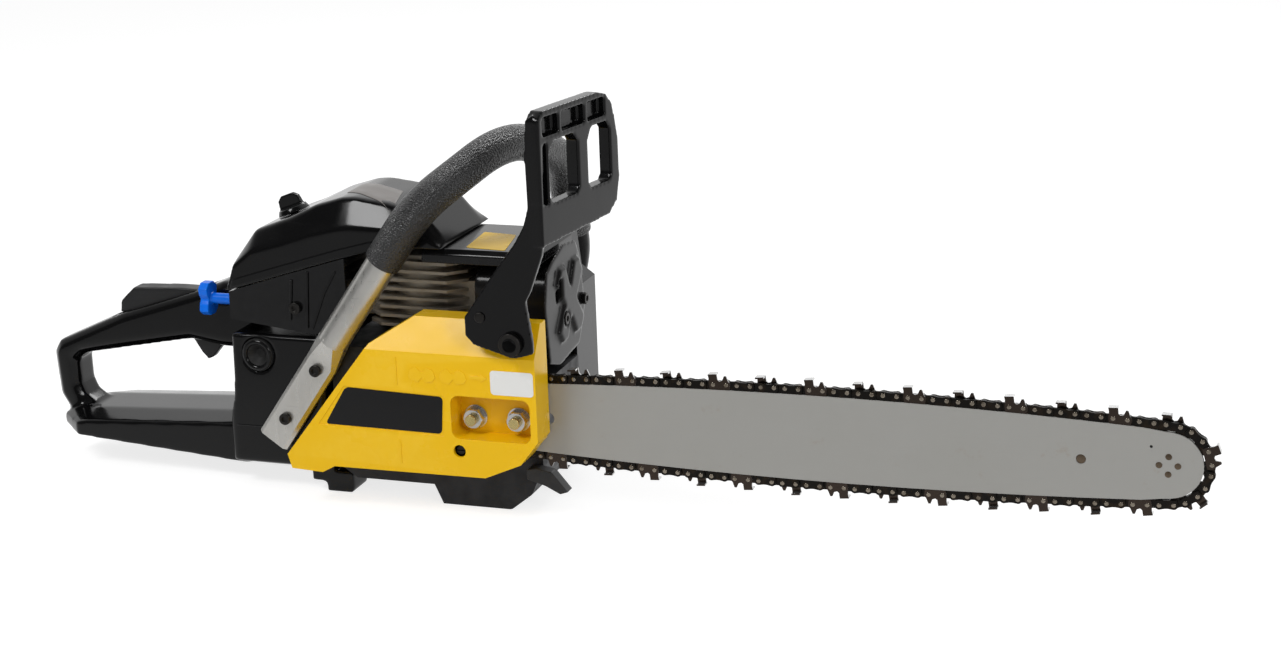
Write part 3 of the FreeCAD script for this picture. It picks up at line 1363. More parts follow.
def make_clutch_cover():
    """Side cover over the drum and the bar's tail, clamped by the bar nuts."""
    corner = (-n.cover_rear, n.cover_bottom)
    spans = (n.cover_length, n.cover_height)
    wall = n.cover_wall
    outer = slab_xz(span_points(COVER_SHARES, corner, spans), -n.cover_face, -n.cover_back)
    inner = slab_xz(span_points(COVER_SHARES, (corner[0] + wall, corner[1] + wall),
                                (spans[0] - 2 * wall, spans[1] - 2 * wall)),
                    -n.cover_face + wall, -n.cover_back + n.overrun)
    top = n.cover_bottom + n.cover_height
    def wedge(shift, reach):
        """The corner above the slanted upper face, from outside or from inside the wall."""
        low = top - n.cover_bevel_height - shift
        face = -n.cover_face + shift
        corners = [V(0, face - reach, low), V(0, face, low), V(0, face + n.cover_bevel_depth, top - shift),
                   V(0, face + n.cover_bevel_depth, top + reach), V(0, face - reach, top + reach)]
        start = V(-n.cover_rear - n.overrun, 0, 0)
        profile = Part.makePolygon([point + start for point in corners + corners[:1]])
        return Part.Face(profile).extrude(V(n.cover_length + 2 * n.overrun, 0, 0))
    inner = inner.cut(wedge(wall, n.overrun * 2))
    shell = outer.cut(wedge(0, n.overrun)).cut(inner)
    nose = Part.makeBox(n.cover_nose_length, n.cover_bar_side, n.cover_height,
                        V(n.cover_length - n.cover_rear - n.cover_nose_length, -n.cover_bar_side,
                          n.cover_bottom))
    shell = shell.cut(nose)
    recess_at = V(n.nut_recess_start, -n.cover_face, n.nut_recess_bottom)
    block = Part.makeBox(n.nut_recess_length + 2 * wall,
                         n.cover_face - n.bar_offset - n.bar_thickness / 2 - n.part_gap,
                         n.nut_recess_height + 2 * wall, recess_at - V(wall, 0, wall))
    pocket = Part.makeBox(n.nut_recess_length, n.cover_face - n.nut_seat_y, n.nut_recess_height, recess_at)
    upright = [edge for edge in pocket.Edges if abs(edge.BoundBox.YLength) > n.overrun]
    pocket = pocket.makeFillet(n.nut_recess_round, upright)
    lead_in = Part.makeBox(n.nut_recess_length, n.overrun, n.nut_recess_height,
                           recess_at - V(0, n.overrun, 0))
    lead_in = lead_in.makeFillet(n.nut_recess_round,
                                 [edge for edge in lead_in.Edges if edge.BoundBox.YLength > n.overrun / 2])
    shell = shell.fuse(block).cut(pocket.fuse(lead_in))
    for step in range(2):
        hole = Part.makeCylinder(n.bar_slot_width / 2, n.cover_face,
                                 V(n.stud_x + step * n.stud_spacing, -n.cover_face, n.crank_height), V(0, 1,
                                                                                                       0))
        shell = shell.cut(hole)
    tension = Part.makeCylinder(n.tension_hole_dia / 2, n.cover_wall + 2 * n.overrun,
                                V(n.tension_x, -n.cover_face - n.overrun, n.tension_height), V(0, 1, 0))
    shell = shell.cut(tension)
    boss_y = -n.guard_face + n.guard_plate + n.part_gap
    pivot = V(n.guard_pivot_x, boss_y, n.guard_pivot_height)
    boss = Part.makeCylinder(n.guard_bolt_dia, -n.nut_seat_y - boss_y, pivot, V(0, 1, 0))
    pivot_hole = Part.makeCylinder(n.guard_bolt_dia / 2, n.cover_face, pivot, V(0, 1, 0))
    shell = shell.fuse(boss).cut(pivot_hole)
    label = span_points(LABEL_SHARES, (-n.label_start, n.label_bottom), (n.label_length, n.label_height))
    shell = shell.cut(slab_xz(label, -n.cover_face - n.overrun, -n.cover_face + n.label_depth))
    raised = []
    for low, length in ((n.rib_upper_bottom, n.rib_upper_length), (n.rib_lower_bottom, n.rib_lower_length)):
        raised.append(Part.makeBox(n.rib_width, n.rib_height + n.cover_wall / 2, length,
                                   V(n.rib_x, -n.cover_face - n.rib_height, low)))
    link_size = (n.rib_upper_length, n.rib_upper_length * 0.6)
    for step in range(2):
        place = (n.rib_x + n.rib_upper_length * (0.5 + 1.15 * step),
                 n.rib_upper_bottom + n.rib_upper_length * 0.15)
        raised.append(slab_xz(span_points(LINK_SHARES, place, link_size), -n.cover_face - n.rib_height,
                              -n.cover_face + wall / 2))
    arrow_at = (n.rib_x + n.rib_upper_length * 2.8, n.rib_upper_bottom + n.rib_upper_length * 0.3)
    raised.append(slab_xz(span_points(ARROW_SHARES, arrow_at,
                                      (n.rib_upper_length * 0.6, n.rib_upper_length * 0.3)),
                          -n.cover_face - n.rib_height, -n.cover_face + wall / 2))
    sub_part(solid("cover_body", shell.multiFuse(raised)), "clutch_cover")


def make_studs_and_nuts():
    """Two bar studs with their flanged hexagon nuts, and the chain tension screw."""
    studs, nuts = [], []
    for step in range(2):
        x = f"stud_x + {step} * stud_spacing"
        studs.append(rod(f"stud{step}", "y", (x, "-(case_right_depth - stud_seat + stud_length)",
                                              "crank_height"),
                         "stud_dia / 2", "stud_length"))
        hexagon = doc.addObject("Part::Prism", f"nut_hex{step}")
        hexagon.Polygon = 6
        hexagon.Placement = FreeCAD.Placement(V(), FreeCAD.Rotation(V(1, 0, 0), -90))
        bind(hexagon, Circumradius="nut_af / sqrt(3)", Height="nut_height")
        bind(hexagon, Placement__Base__x=f"{x} - rest_to_crank",
             Placement__Base__y="-(nut_seat_y + nut_height)")
        bind(hexagon, Placement__Base__z="crank_height")
        bevel = cone(f"nut_bevel{step}", "y", (x, "-(nut_seat_y + nut_height)", "crank_height"),
                     "nut_af / 2", "nut_af / 2 + nut_height * 1.5", "nut_height")
        crown = doc.addObject("Part::Common", f"nut_crown{step}")
        crown.Base = hexagon
        crown.Tool = bevel
        flange = rod(f"nut_flange{step}", "y", (x, "-(nut_seat_y + nut_flange_height)", "crank_height"),
                     "nut_flange_dia / 2", "nut_flange_height")
        bore = rod(f"nut_bore{step}", "y", (x, "-(nut_seat_y + nut_height + overrun)", "crank_height"),
                   "stud_dia / 2", "nut_height + 2 * overrun")
        nuts.append(cut(f"nut{step}", fuse(f"nut_blank{step}", crown, flange), bore))
    for label, pieces in (("bar_studs", studs), ("bar_nuts", nuts)):
        group = doc.addObject("Part::Compound", f"{label}_body")
        group.Links = pieces
        sub_part(group, label)
    plate_y = "-(bar_offset + bar_thickness / 2 + part_gap)"
    shank = rod("tension_shank", "y", ("tension_x", "-(cover_face - cover_wall)", "tension_height"),
                "tension_screw_dia / 2",
                "cover_face - cover_wall - bar_offset - bar_thickness / 2 - 2 * part_gap")
    collar = rod("tension_collar", "y", ("tension_x", "-(nut_seat_y + cover_wall)", "tension_height"),
                 "tension_hole_dia / 2", "cover_wall")
    slot = box("tension_slot", ("tension_x - tension_screw_dia", "tension_x + tension_screw_dia"),
               ("-cover_face", "-(cover_face - cover_wall - overrun / 2)"),
               ("tension_height - overrun / 4", "tension_height + overrun / 4"))
    sub_part(cut("tension_screw_body", fuse("tension_joined", shank, collar), slot), "tension_screw")
    block = box("tension_block", ("tension_x - tension_screw_dia", "tension_x + tension_screw_dia"),
                (f"{plate_y} - cover_wall", plate_y),
                ("tension_height - tension_pin_dia", "tension_height + tension_pin_dia * 1.25"))
    pin = rod("tension_peg", "y", ("tension_x", f"{plate_y} - cover_wall / 2",
                                   "tension_height + tension_pin_dia"),
              "tension_pin_dia / 2", "cover_wall / 2 + bar_thickness")
    way = rod("tension_way", "y", ("tension_x", f"{plate_y} - cover_wall - overrun", "tension_height"),
              "tension_screw_dia / 2 + running_gap", "cover_wall + 2 * overrun")
    sub_part(cut("tension_pin_body", fuse("tension_plate", block, pin), way), "tension_pin")


class ChainPath:
    """The closed line of the chain's rivets round the sprocket, the bar and its nose."""

    def __init__(self):
        half_pitch = (n.link_long + n.link_short) / 2
        self.sprocket_radius = half_pitch / (2 * math.sin(math.pi / (2 * n.sprocket_teeth)))
        drop = self.sprocket_radius - math.sqrt(self.sprocket_radius ** 2 - (n.link_long / 2) ** 2)
        self.rim_radius = self.sprocket_radius - drop - n.strap_foot - n.part_gap
        self.points = self.trace()
        self.lengths = [0.0]
        for a, b in zip(self.points, self.points[1:] + self.points[:1]):
            self.lengths.append(self.lengths[-1] + math.dist(a, b))
        self.pitch_pairs = round(self.lengths[-1] / (n.link_long + n.link_short))
        self.pitch_pairs -= self.pitch_pairs % 4
        self.scale = self.fit_scale()

    def bow(self, x):
        """Half the distance between the two rivet lines along the bar."""
        rise = n.bar_half_height + n.rivet_lift
        return rise - n.bar_bow_radius + math.sqrt(n.bar_bow_radius ** 2 - (x - n.bar_apex_x) ** 2)

    def trace(self):
        """Points along the rivet line, forward on top and back below, with x and height over the bar."""
        tail = n.bar_tail_x + n.bar_tail_taper
        nose = n.bar_nose_x
        steps = int(n.sprocket_teeth) * 30
        upper = [(tail + (nose - tail) * i / steps, self.bow(tail + (nose - tail) * i / steps))
                 for i in range(steps)]
        fall = self.bow(nose) - n.nose_rivet_radius
        for i in range(1, steps // 4):
            share = i / (steps // 4)
            index = len(upper) - steps // 4 + i
            upper[index] = (upper[index][0], upper[index][1] - fall * share ** 2)
        arc = []
        for i in range(steps + 1):
            angle = math.pi / 2 - math.pi * i / steps
            arc.append((nose + n.nose_rivet_radius * math.cos(angle),
                        n.nose_rivet_radius * math.sin(angle)))
        lower = [(x, -z) for x, z in reversed(upper)]
        reach = math.hypot(tail, self.bow(tail))
        touch = math.atan2(self.bow(tail), tail) + math.acos(self.sprocket_radius / reach)
        sprocket = []
        for i in range(steps + 1):
            angle = -touch - (2 * math.pi - 2 * touch) * i / steps
            sprocket.append((self.sprocket_radius * math.cos(angle),
                             self.sprocket_radius * math.sin(angle)))
        return upper + arc + lower + sprocket

    def at(self, distance):
        """The place at a distance along the line."""
        distance = distance % self.lengths[-1]
        low, high = 0, len(self.lengths) - 1
        while high - low > 1:
            middle = (low + high) // 2
            if self.lengths[middle] <= distance:
                low = middle
            else:
                high = middle
        a, b = self.points[low], self.points[(low + 1) % len(self.points)]
        share = (distance - self.lengths[low]) / (self.lengths[low + 1] - self.lengths[low])
        return a[0] + (b[0] - a[0]) * share, a[1] + (b[1] - a[1]) * share

    def start_distance(self):
        """Distance of the rear rivet of the first cutter on the upper run."""
        best = min(range(len(self.points) // 4),
                   key=lambda i: abs(self.points[i][0] - n.first_cutter_x + n.link_long / 2))
        return self.lengths[best]

    def next_rivet(self, distance, length):
        """Distance along the line of the place that is a straight length away."""
        here = self.at(distance)
        low, high = distance, distance + length * 1.5
        for _ in range(40):
            middle = (low + high) / 2
            if math.dist(here, self.at(middle)) < length:
                low = middle
            else:
                high = middle
        return (low + high) / 2

    def march(self, scale):
        """Distances of all the rivets, and of the first one again after a whole turn."""
        places = [self.start_distance()]
        for _ in range(self.pitch_pairs):
            for length in (n.link_long, n.link_short):
                places.append(self.next_rivet(places[-1], length * scale))
        return places

    def fit_scale(self):
        """The scale of the links that closes the chain."""
        low, high = 0.98, 1.02
        for _ in range(24):
            middle = (low + high) / 2
            places = self.march(middle)
            if places[-1] - places[0] < self.lengths[-1]:
                low = middle
            else:
                high = middle
        return (low + high) / 2

    def rivets(self):
        """Pairs of rivet places: one pair for each strap station, in order along the line."""
        places = self.march(self.scale)
        return [(self.at(places[index]), self.at(places[index + 1]))
                for index in range(0, 2 * self.pitch_pairs, 2)]

    def tooth_angles(self):
        """Angles of the strap stations that lie on the sprocket."""
        angles = []
        for first, second in self.rivets():
            x, z = (first[0] + second[0]) / 2, (first[1] + second[1]) / 2
            if x < n.bar_tail_x / 3 and math.hypot(x, z) < self.sprocket_radius * 1.05:
                angles.append(math.atan2(z, x))
        return angles


def along_link(first, second):
    """Placement of a link: x from its rear rivet to its front rivet, z away from the bar."""
    angle = math.degrees(math.atan2(second[1] - first[1], second[0] - first[0]))
    return FreeCAD.Placement(V(first[0], -n.bar_offset, n.crank_height + first[1]),
                             FreeCAD.Rotation(V(0, 1, 0), -angle))


def link_arc(centre, radius, start, end):
    """An arc in x and z between two angles in degrees."""
    middle = math.radians((start + end) / 2)
    ends = [V(centre[0] + radius * math.cos(math.radians(a)), 0,
              centre[1] + radius * math.sin(math.radians(a)))
            for a in (start, end)]
    crest = V(centre[0] + radius * math.cos(middle), 0, centre[1] + radius * math.sin(middle))
    return ends, Part.Arc(ends[0], crest, ends[1]).toShape()


def link_plate(length, lower, thickness, holes):
    """A link plate round its two rivets, with its lower edge through the given points."""
    radius = n.strap_half_height
    front_ends, front = link_arc((length, 0), radius, 0, 90)
    waist = radius * 0.78
    rear_ends, rear = link_arc((0, 0), radius, 90, 180)
    dip = [V(length * 0.62, 0, waist), V(length * 0.38, 0, waist)]
    corners = [front_ends[1]] + dip + [rear_ends[0]]
    edges = [front] + [Part.LineSegment(a, b).toShape() for a, b in zip(corners, corners[1:])] + [rear]
    bottom = [rear_ends[1]] + [V(x, 0, z) for x, z in lower] + [front_ends[0]]
    edges += [Part.LineSegment(a, b).toShape() for a, b in zip(bottom, bottom[1:])]
    plate = Part.Face(Part.Wire(edges)).extrude(V(0, thickness, 0))
    for x in (0, length):
        plate = plate.cut(Part.makeCylinder(holes, thickness + 2 * n.overrun, V(x, -n.overrun, 0),
                                            V(0, 1, 0)))
    return plate


TANG_SHARES = [(-0.3, -0.42), (-0.08, -0.66), (0.3, -1), (0.62, -1), (0.82, -0.6), (1.3, -0.42)]
STRAP_FOOT_SHARES = [(-0.25, -1), (1.25, -1)]
TOOTH_SHARES = [(-0.32, 0), (-0.32, 0.62), (-0.38, 1), (0.3, 1.08), (0.36, 0.5), (0.5, 0.36), (0.72, 0.45),
                (0.86, 0.9), (1.02, 0.9), (1.2, 0.3), (1.2, 0)]


def make_chain(chain):
    """Drive links, tie straps, cutters of both hands and rivets, all round the bar."""
    stations = chain.rivets()
    long_link = n.link_long * chain.scale
    side = n.drive_thickness / 2 + n.strap_gap
    half_width = side + n.strap_thickness
    tang = [(u * n.link_short, v * n.tang_depth) for u, v in TANG_SHARES]
    foot = [(u * n.link_long, v * n.strap_foot) for u, v in STRAP_FOOT_SHARES]
    drive = link_plate(n.link_short * chain.scale, tang, n.drive_thickness,
                       n.rivet_dia / 2 + n.running_gap / 2)
    drive.translate(V(0, -n.drive_thickness / 2, 0))
    strap = link_plate(long_link, foot, n.strap_thickness, n.rivet_dia / 2)
    blade = Part.makePolygon([V(u * n.link_long, 0, v * n.cutter_rise)
                              for u, v in TOOTH_SHARES + TOOTH_SHARES[:1]])
    blade = Part.Face(blade).extrude(V(0, n.strap_thickness, 0))
    for x in (0, long_link):
        blade = blade.cut(Part.makeCylinder(n.rivet_dia / 2, n.strap_thickness, V(x, 0, 0), V(0, 1, 0)))
    plate_length = n.link_long * 0.66
    top = Part.makeBox(plate_length, n.cutter_top_width, n.cutter_top_thickness,
                       V(-n.link_long * 0.38, 0, n.cutter_rise - n.cutter_top_thickness))
    top.rotate(V(-n.link_long * 0.38, 0, n.cutter_rise), V(0, 1, 0),
               -math.degrees(math.atan(0.08 * n.cutter_rise / plate_length)))
    cutter = strap.fuse([blade, top])
    head = half_width + n.rivet_head
    rivet = Part.makeCylinder(n.rivet_dia / 2, 2 * half_width, V(0, -half_width, 0), V(0, 1, 0))
    for sense in (-1, 1):
        rivet = rivet.fuse(Part.makeCone(n.rivet_dia / 2, n.rivet_dia / 4, n.rivet_head,
                                         V(0, sense * half_width, 0), V(0, sense, 0)))
    groups = {"chain_drive_links": [], "chain_tie_straps": [], "chain_cutters": [], "chain_rivets": []}
    mirror = V(0, 1, 0)
    far_strap = strap.copy()
    far_strap.translate(V(0, side, 0))
    near_strap = far_strap.mirror(V(), mirror)
    cutter_far = cutter.mirror(V(), mirror)
    cutter_far.translate(V(0, half_width, 0))
    cutter_near = cutter_far.mirror(V(), mirror)
    for index, (first, second) in enumerate(stations):
        place = along_link(first, second)
        for group, shape, wanted in (
            ("chain_cutters", cutter_near, index % 4 == 0),
            ("chain_tie_straps", near_strap, index % 4 != 0),
            ("chain_cutters", cutter_far, index % 4 == 2),
            ("chain_tie_straps", far_strap, index % 4 != 2),
        ):
            if wanted:
                copy = shape.copy()
                copy.Placement = place.multiply(shape.Placement)
                groups[group].append(copy)
        for spot in (first, second):
            pin = rivet.copy()
            pin.translate(V(spot[0], -n.bar_offset, n.crank_height + spot[1]))
            groups["chain_rivets"].append(pin)
        following = stations[(index + 1) % len(stations)][0]
        link = drive.copy()
        link.Placement = along_link(second, following).multiply(drive.Placement)
        groups["chain_drive_links"].append(link)
    print("links", {label: len(shapes) for label, shapes in groups.items()}, "scale", round(chain.scale, 4))
    for label, shapes in groups.items():
        sub_part(solid(f"{label}_body", Part.makeCompound(shapes)), label)


def make_guide_bar():
    """Guide bar with its groove, slot, nose opening, holes and nose rivets."""
    y = -n.bar_offset
    tail, shoulder, nose = n.bar_tail_x, n.bar_tail_x + n.bar_tail_taper * 1.5, n.bar_nose_x
    def rail(x):
        return n.bar_half_height - n.bar_bow_radius + math.sqrt(n.bar_bow_radius ** 2
                                                                - (x - n.bar_apex_x) ** 2)
    def outline(inset, level):
        radius = n.bar_nose_radius - inset
        top_at = nose - (rail(nose) - n.bar_nose_radius) * 12
        upper = [V(shoulder + inset, level, rail(shoulder) - inset),
                 V(n.bar_apex_x, level, n.bar_half_height - inset),
                 V(top_at, level, rail(top_at) - inset)]
        edges = [Part.Arc(*upper).toShape()]

        def flip(point):
            return V(point.x, point.y, -point.z)

        nose_top = V(nose, level, radius)
        edges.append(Part.LineSegment(upper[2], nose_top).toShape())
        edges.append(Part.Arc(nose_top, V(nose + radius, level, 0), flip(nose_top)).toShape())
        edges.append(Part.LineSegment(flip(nose_top), flip(upper[2])).toShape())
        edges.append(Part.Arc(flip(upper[2]), flip(upper[1]), flip(upper[0])).toShape())
        corners = [flip(upper[0]), V(tail + inset, level, -n.bar_tail_half),
                   V(tail + inset, level, n.bar_tail_half), upper[0]]
        edges += [Part.LineSegment(a, b).toShape() for a, b in zip(corners, corners[1:])]
        wire = Part.Wire(edges)
        wire.translate(V(0, 0, n.crank_height))
        return wire
    half = n.bar_thickness / 2
    plate = Part.Face(outline(0, y - half)).extrude(V(0, n.bar_thickness, 0))
    groove_half = n.bar_groove_width / 2
    ring = Part.Face([outline(-n.overrun, y - groove_half), outline(n.bar_groove_depth, y - groove_half)])
    ring.validate()
    plate = plate.cut(ring.extrude(V(0, n.bar_groove_width, 0)))
    centre = V(nose, y, n.crank_height)
    def disc(radius, thickness, middle=centre):
        return Part.makeCylinder(radius, thickness, middle - V(0, thickness / 2, 0), V(0, 1, 0))
    mouth = disc(n.bar_nose_radius + n.overrun, n.bar_groove_width)
    hub = disc(n.nose_hub_dia / 2, n.bar_groove_width)
    plate = plate.cut(mouth.cut(hub))
    slot = Part.makeBox(n.bar_slot_end - n.bar_slot_start - n.bar_slot_width, 2 * n.bar_thickness,
                        n.bar_slot_width,
                        V(n.bar_slot_start + n.bar_slot_width / 2, y - n.bar_thickness,
                          n.crank_height - n.bar_slot_width / 2))
    ends = [disc(n.bar_slot_width / 2, 2 * n.bar_thickness, V(x, y, n.crank_height))
            for x in (n.bar_slot_start + n.bar_slot_width / 2, n.bar_slot_end - n.bar_slot_width / 2)]
    holes = [disc(n.bar_pin_hole_dia / 2, 2 * n.bar_thickness,
                  V(n.tension_x, y,
                    n.crank_height + sense * (n.crank_height - n.tension_height - n.tension_pin_dia)))
             for sense in (-1, 1)]
    holes.append(disc(n.bar_hang_hole_dia / 2, 2 * n.bar_thickness,
                      V(n.bar_hang_hole_x, y, n.crank_height)))
    holes.append(disc(n.bar_lube_hole_dia / 2, 2 * n.bar_thickness,
                      V(n.bar_lube_hole_x, y, n.crank_height + n.bar_lube_hole_rise)))
    plate = plate.cut([slot] + ends + holes)
    rivets = []
    for angle in (0, 90, 180, 270):
        spot = centre + V(n.bar_rivet_spread * math.cos(math.radians(angle)), 0,
                          n.bar_rivet_spread * math.sin(math.radians(angle)))
        rivets.append(disc(n.bar_rivet_dia / 2, n.bar_thickness + n.part_gap, spot))
    sub_part(solid("bar_body", plate.multiFuse(rivets)), "guide_bar")


def make_nose_sprocket(chain):
    """Toothed wheel inside the nose of the bar, with its teeth between the drive links' tangs."""
    middles = [((a[0] + b[0]) / 2 - n.bar_nose_x, (a[1] + b[1]) / 2) for a, b in chain.rivets()]
    front = max(middles)
    phase = math.atan2(front[1], front[0])
    centre = V(n.bar_nose_x, -n.bar_offset, n.crank_height)
    thickness = n.nose_sprocket_thickness
    teeth = int(n.nose_sprocket_teeth)
    corners = []
    for index in range(teeth):
        for share, radius in ((0.0, n.nose_sprocket_root), (0.36, n.nose_sprocket_root),
                              (0.5, n.nose_sprocket_tip), (0.62, n.nose_sprocket_tip),
                              (0.78, n.nose_sprocket_root)):
            angle = phase + 2 * math.pi * (index + share - 0.56) / teeth
            corners.append(centre + V(radius * math.cos(angle), -thickness / 2, radius * math.sin(angle)))
    wheel = Part.Face(Part.makePolygon(corners + corners[:1])).extrude(V(0, thickness, 0))
    bore = Part.makeCylinder(n.nose_hub_dia / 2 + n.part_gap / 3, 2 * thickness,
                             centre - V(0, thickness, 0), V(0, 1, 0))
    sub_part(solid("nose_wheel", wheel.cut(bore)), "nose_sprocket")


HANDLE_SEAT = "-(tank_right + part_gap + handle_flat_thickness)"

# Places of the dark pan-head screws: the piece that they hold, the axis, and the head's seat
SCREWS = {
    "handle": [("y", f"-(handle_foot_x - {share} * handle_slope_x)", HANDLE_SEAT,
                f"handle_foot_height + {share} * handle_slope_height") for share in (0.06, 0.34)],
    "air_box": [("y", "-(air_box_rear - air_box_length * 0.57)", "-air_box_half",
                 "air_box_bottom + air_box_height * 0.31")],
    "starter": [("-y", "-(starter_rear - starter_length * 0.1)", "starter_start + starter_depth",
                 "starter_bottom + starter_height * 0.28")],
    "muffler": [("-x", "muffler_start + muffler_length + muffler_plate", "-muffler_right * 0.25",
                 "muffler_bottom + muffler_height * 0.38"),
                ("-x", "muffler_start + muffler_length + muffler_plate", "muffler_right * 0.63",
                 "muffler_bottom + muffler_height * 0.42")],
    "top_cover": [("-z", "top_cover_start + top_cover_length * 0.8", "-top_cover_right * 0.6",
                   "top_cover_top")],
}
HEADINGS = {"x": V(1, 0, 0), "y": V(0, 1, 0), "z": V(0, 0, 1), "-x": V(-1, 0, 0), "-y": V(0, -1, 0),
            "-z": V(0, 0, -1)}


def screw_bar(name, place, radius, start, length):
    """A round bar on a screw's axis; start is the distance from the head's seat into the work."""
    heading, x, y, z = place
    bar = doc.addObject("Part::Cylinder", name)
    bar.Placement = FreeCAD.Placement(V(), FreeCAD.Rotation(V(0, 0, 1), HEADINGS[heading]))
    bind(bar, Radius=radius, Height=length)
    sense = "-" if heading.startswith("-") else "+"
    at = {"x": f"{x} - rest_to_crank", "y": y, "z": z}
    at[heading[-1]] += f" {sense} ({start})"
    bind(bar, Placement__Base__x=at["x"], Placement__Base__y=at["y"], Placement__Base__z=at["z"])
    return bar


def screw_holes(group):
    """Bars that drill the screws' holes in the pieces that they hold."""
    return [screw_bar(f"drill_{group}{index}", place, "screw_shank_dia / 2", "-overrun",
                      "screw_shank_length + 2 * overrun")
            for index, place in enumerate(SCREWS[group])]


def make_screws():
    """All the pan-head screws, each with a round socket in its head."""
    screws = []
    for group, places in SCREWS.items():
        for index, place in enumerate(places):
            name = f"screw_{group}{index}"
            head = screw_bar(f"{name}_head", place, "screw_head_dia / 2", "-screw_head_height",
                             "screw_head_height")
            shank = screw_bar(f"{name}_shank", place, "screw_shank_dia / 2", "0", "screw_shank_length")
            socket = screw_bar(f"{name}_socket", place, "screw_socket / 2", "-screw_head_height - overrun",
                               "screw_head_height / 2 + overrun")
            screws.append(cut(name, fuse(f"{name}_blank", head, shank), socket))
    group = doc.addObject("Part::Compound", "screws_body")
    group.Links = screws
    sub_part(group, "case_screws")


def make_catcher():
    """Horn below the chain that catches it if it breaks."""
    catcher = Bench("catcher_horn")
    catcher.pad("XZ", ("catcher_x", "catcher_top - catcher_height"),
                ("-(case_right_depth + part_gap + catcher_width)", "-(case_right_depth + part_gap)"),
                ("catcher_length", "catcher_height"),
                [(0, 0.35), (0.45, 0.2), (0.8, 0), (1, 0.08), (0.62, 0.6), (0.25, 0.68), (0, 0.62)])
    catcher.done("chain_catcher")


PLATE_SHARES = [(0, 0.58), (0.07, 0.08), (0.33, 0), (0.83, 0.06), (1, 0.35), (0.92, 0.78), (0.82, 0.96),
                (0.5, 1), (0.23, 0.92), (0.07, 0.85)]


def make_muffler():
    """Muffler box with its pressed front plate, outlet and inlet."""
    muffler = Bench("muffler_box")
    depth = ("muffler_start", "muffler_start + muffler_length")
    blank = muffler.pad("YZ", ("-muffler_right * 0.8", "muffler_bottom + muffler_lip"), depth,
                        ("muffler_width", "muffler_height"), [(0, 0), (0.8, 0), (0.8, 0.8), (0, 0.8)])
    corners = edges_along(blank.Shape, V(1, 0, 0))
    muffler.dress("Fillet", blank, corners, "muffler_round")
    front = "muffler_start + muffler_length"
    muffler.pad("YZ", ("-muffler_right", "muffler_bottom"), (front, f"{front} + muffler_plate"),
                ("muffler_width", "muffler_height"), PLATE_SHARES)
    muffler.pad("YZ", ("-muffler_right * 0.55", "muffler_bottom + muffler_height * 0.2"),
                (front, f"{front} + muffler_plate + muffler_lip"), ("muffler_width", "muffler_height"),
                [(0.08, 0), (0.2, 0), (0.3, 0.18), (0.42, 0), (0.54, 0), (0.62, 0.1), (0.45, 0.3),
                 (0.62, 0.5),
                 (0.54, 0.62), (0.42, 0.62), (0.3, 0.42), (0.2, 0.62), (0.08, 0.62), (0, 0.5), (0.16,
                                                                                                0.3), (0,
                                                                                                       0.1)])
    inside = box("muffler_inside", ("muffler_start + muffler_wall", f"{front} - muffler_wall"),
                 ("-muffler_right * 0.8 + muffler_round / 3",
                  "-muffler_right * 0.8 + muffler_width * 0.8 - muffler_round / 3"),
                 ("muffler_bottom + muffler_lip + muffler_round / 3",
                  "muffler_bottom + muffler_lip + muffler_height * 0.8 - muffler_round / 3"))
    inlet = rod("muffler_inlet", "x", ("muffler_start - overrun", "0", "exhaust_port_height"),
                "muffler_port_dia / 2",
                "muffler_wall + 2 * overrun")
    outlet = box("muffler_outlet", (f"{front} - muffler_wall - overrun",
                                    f"{front} + muffler_plate + muffler_lip + overrun"),
                 ("-muffler_right * 0.5", "-muffler_right * 0.5 + muffler_outlet_width"),
                 ("muffler_bottom + muffler_height * 0.55",
                  "muffler_bottom + muffler_height * 0.55 + muffler_outlet_height"))
    neck = box("muffler_neck", ("exhaust_flange_x", "muffler_start"),
               ("-flange_width / 2", "flange_width / 2"),
               ("exhaust_port_height - flange_height / 2", "exhaust_port_height + flange_height / 2"))
    neck_bore = rod("muffler_neck_bore", "x", ("exhaust_flange_x - overrun", "0", "exhaust_port_height"),
                    "port_height / 2", "muffler_start - exhaust_flange_x + 2 * overrun")
    joined = fuse("muffler_joined", muffler.body, neck)
    seats = [screw_bar(f"muffler_seat{index}", place, "screw_head_dia / 2 + overrun / 2",
                       "-(muffler_lip + overrun)",
                       "muffler_lip + overrun") for index, place in enumerate(SCREWS["muffler"])]
    sub_part(cut("muffler_body", joined, inside, inlet, outlet, neck_bore, *seats, *screw_holes("muffler")),
             "muffler")


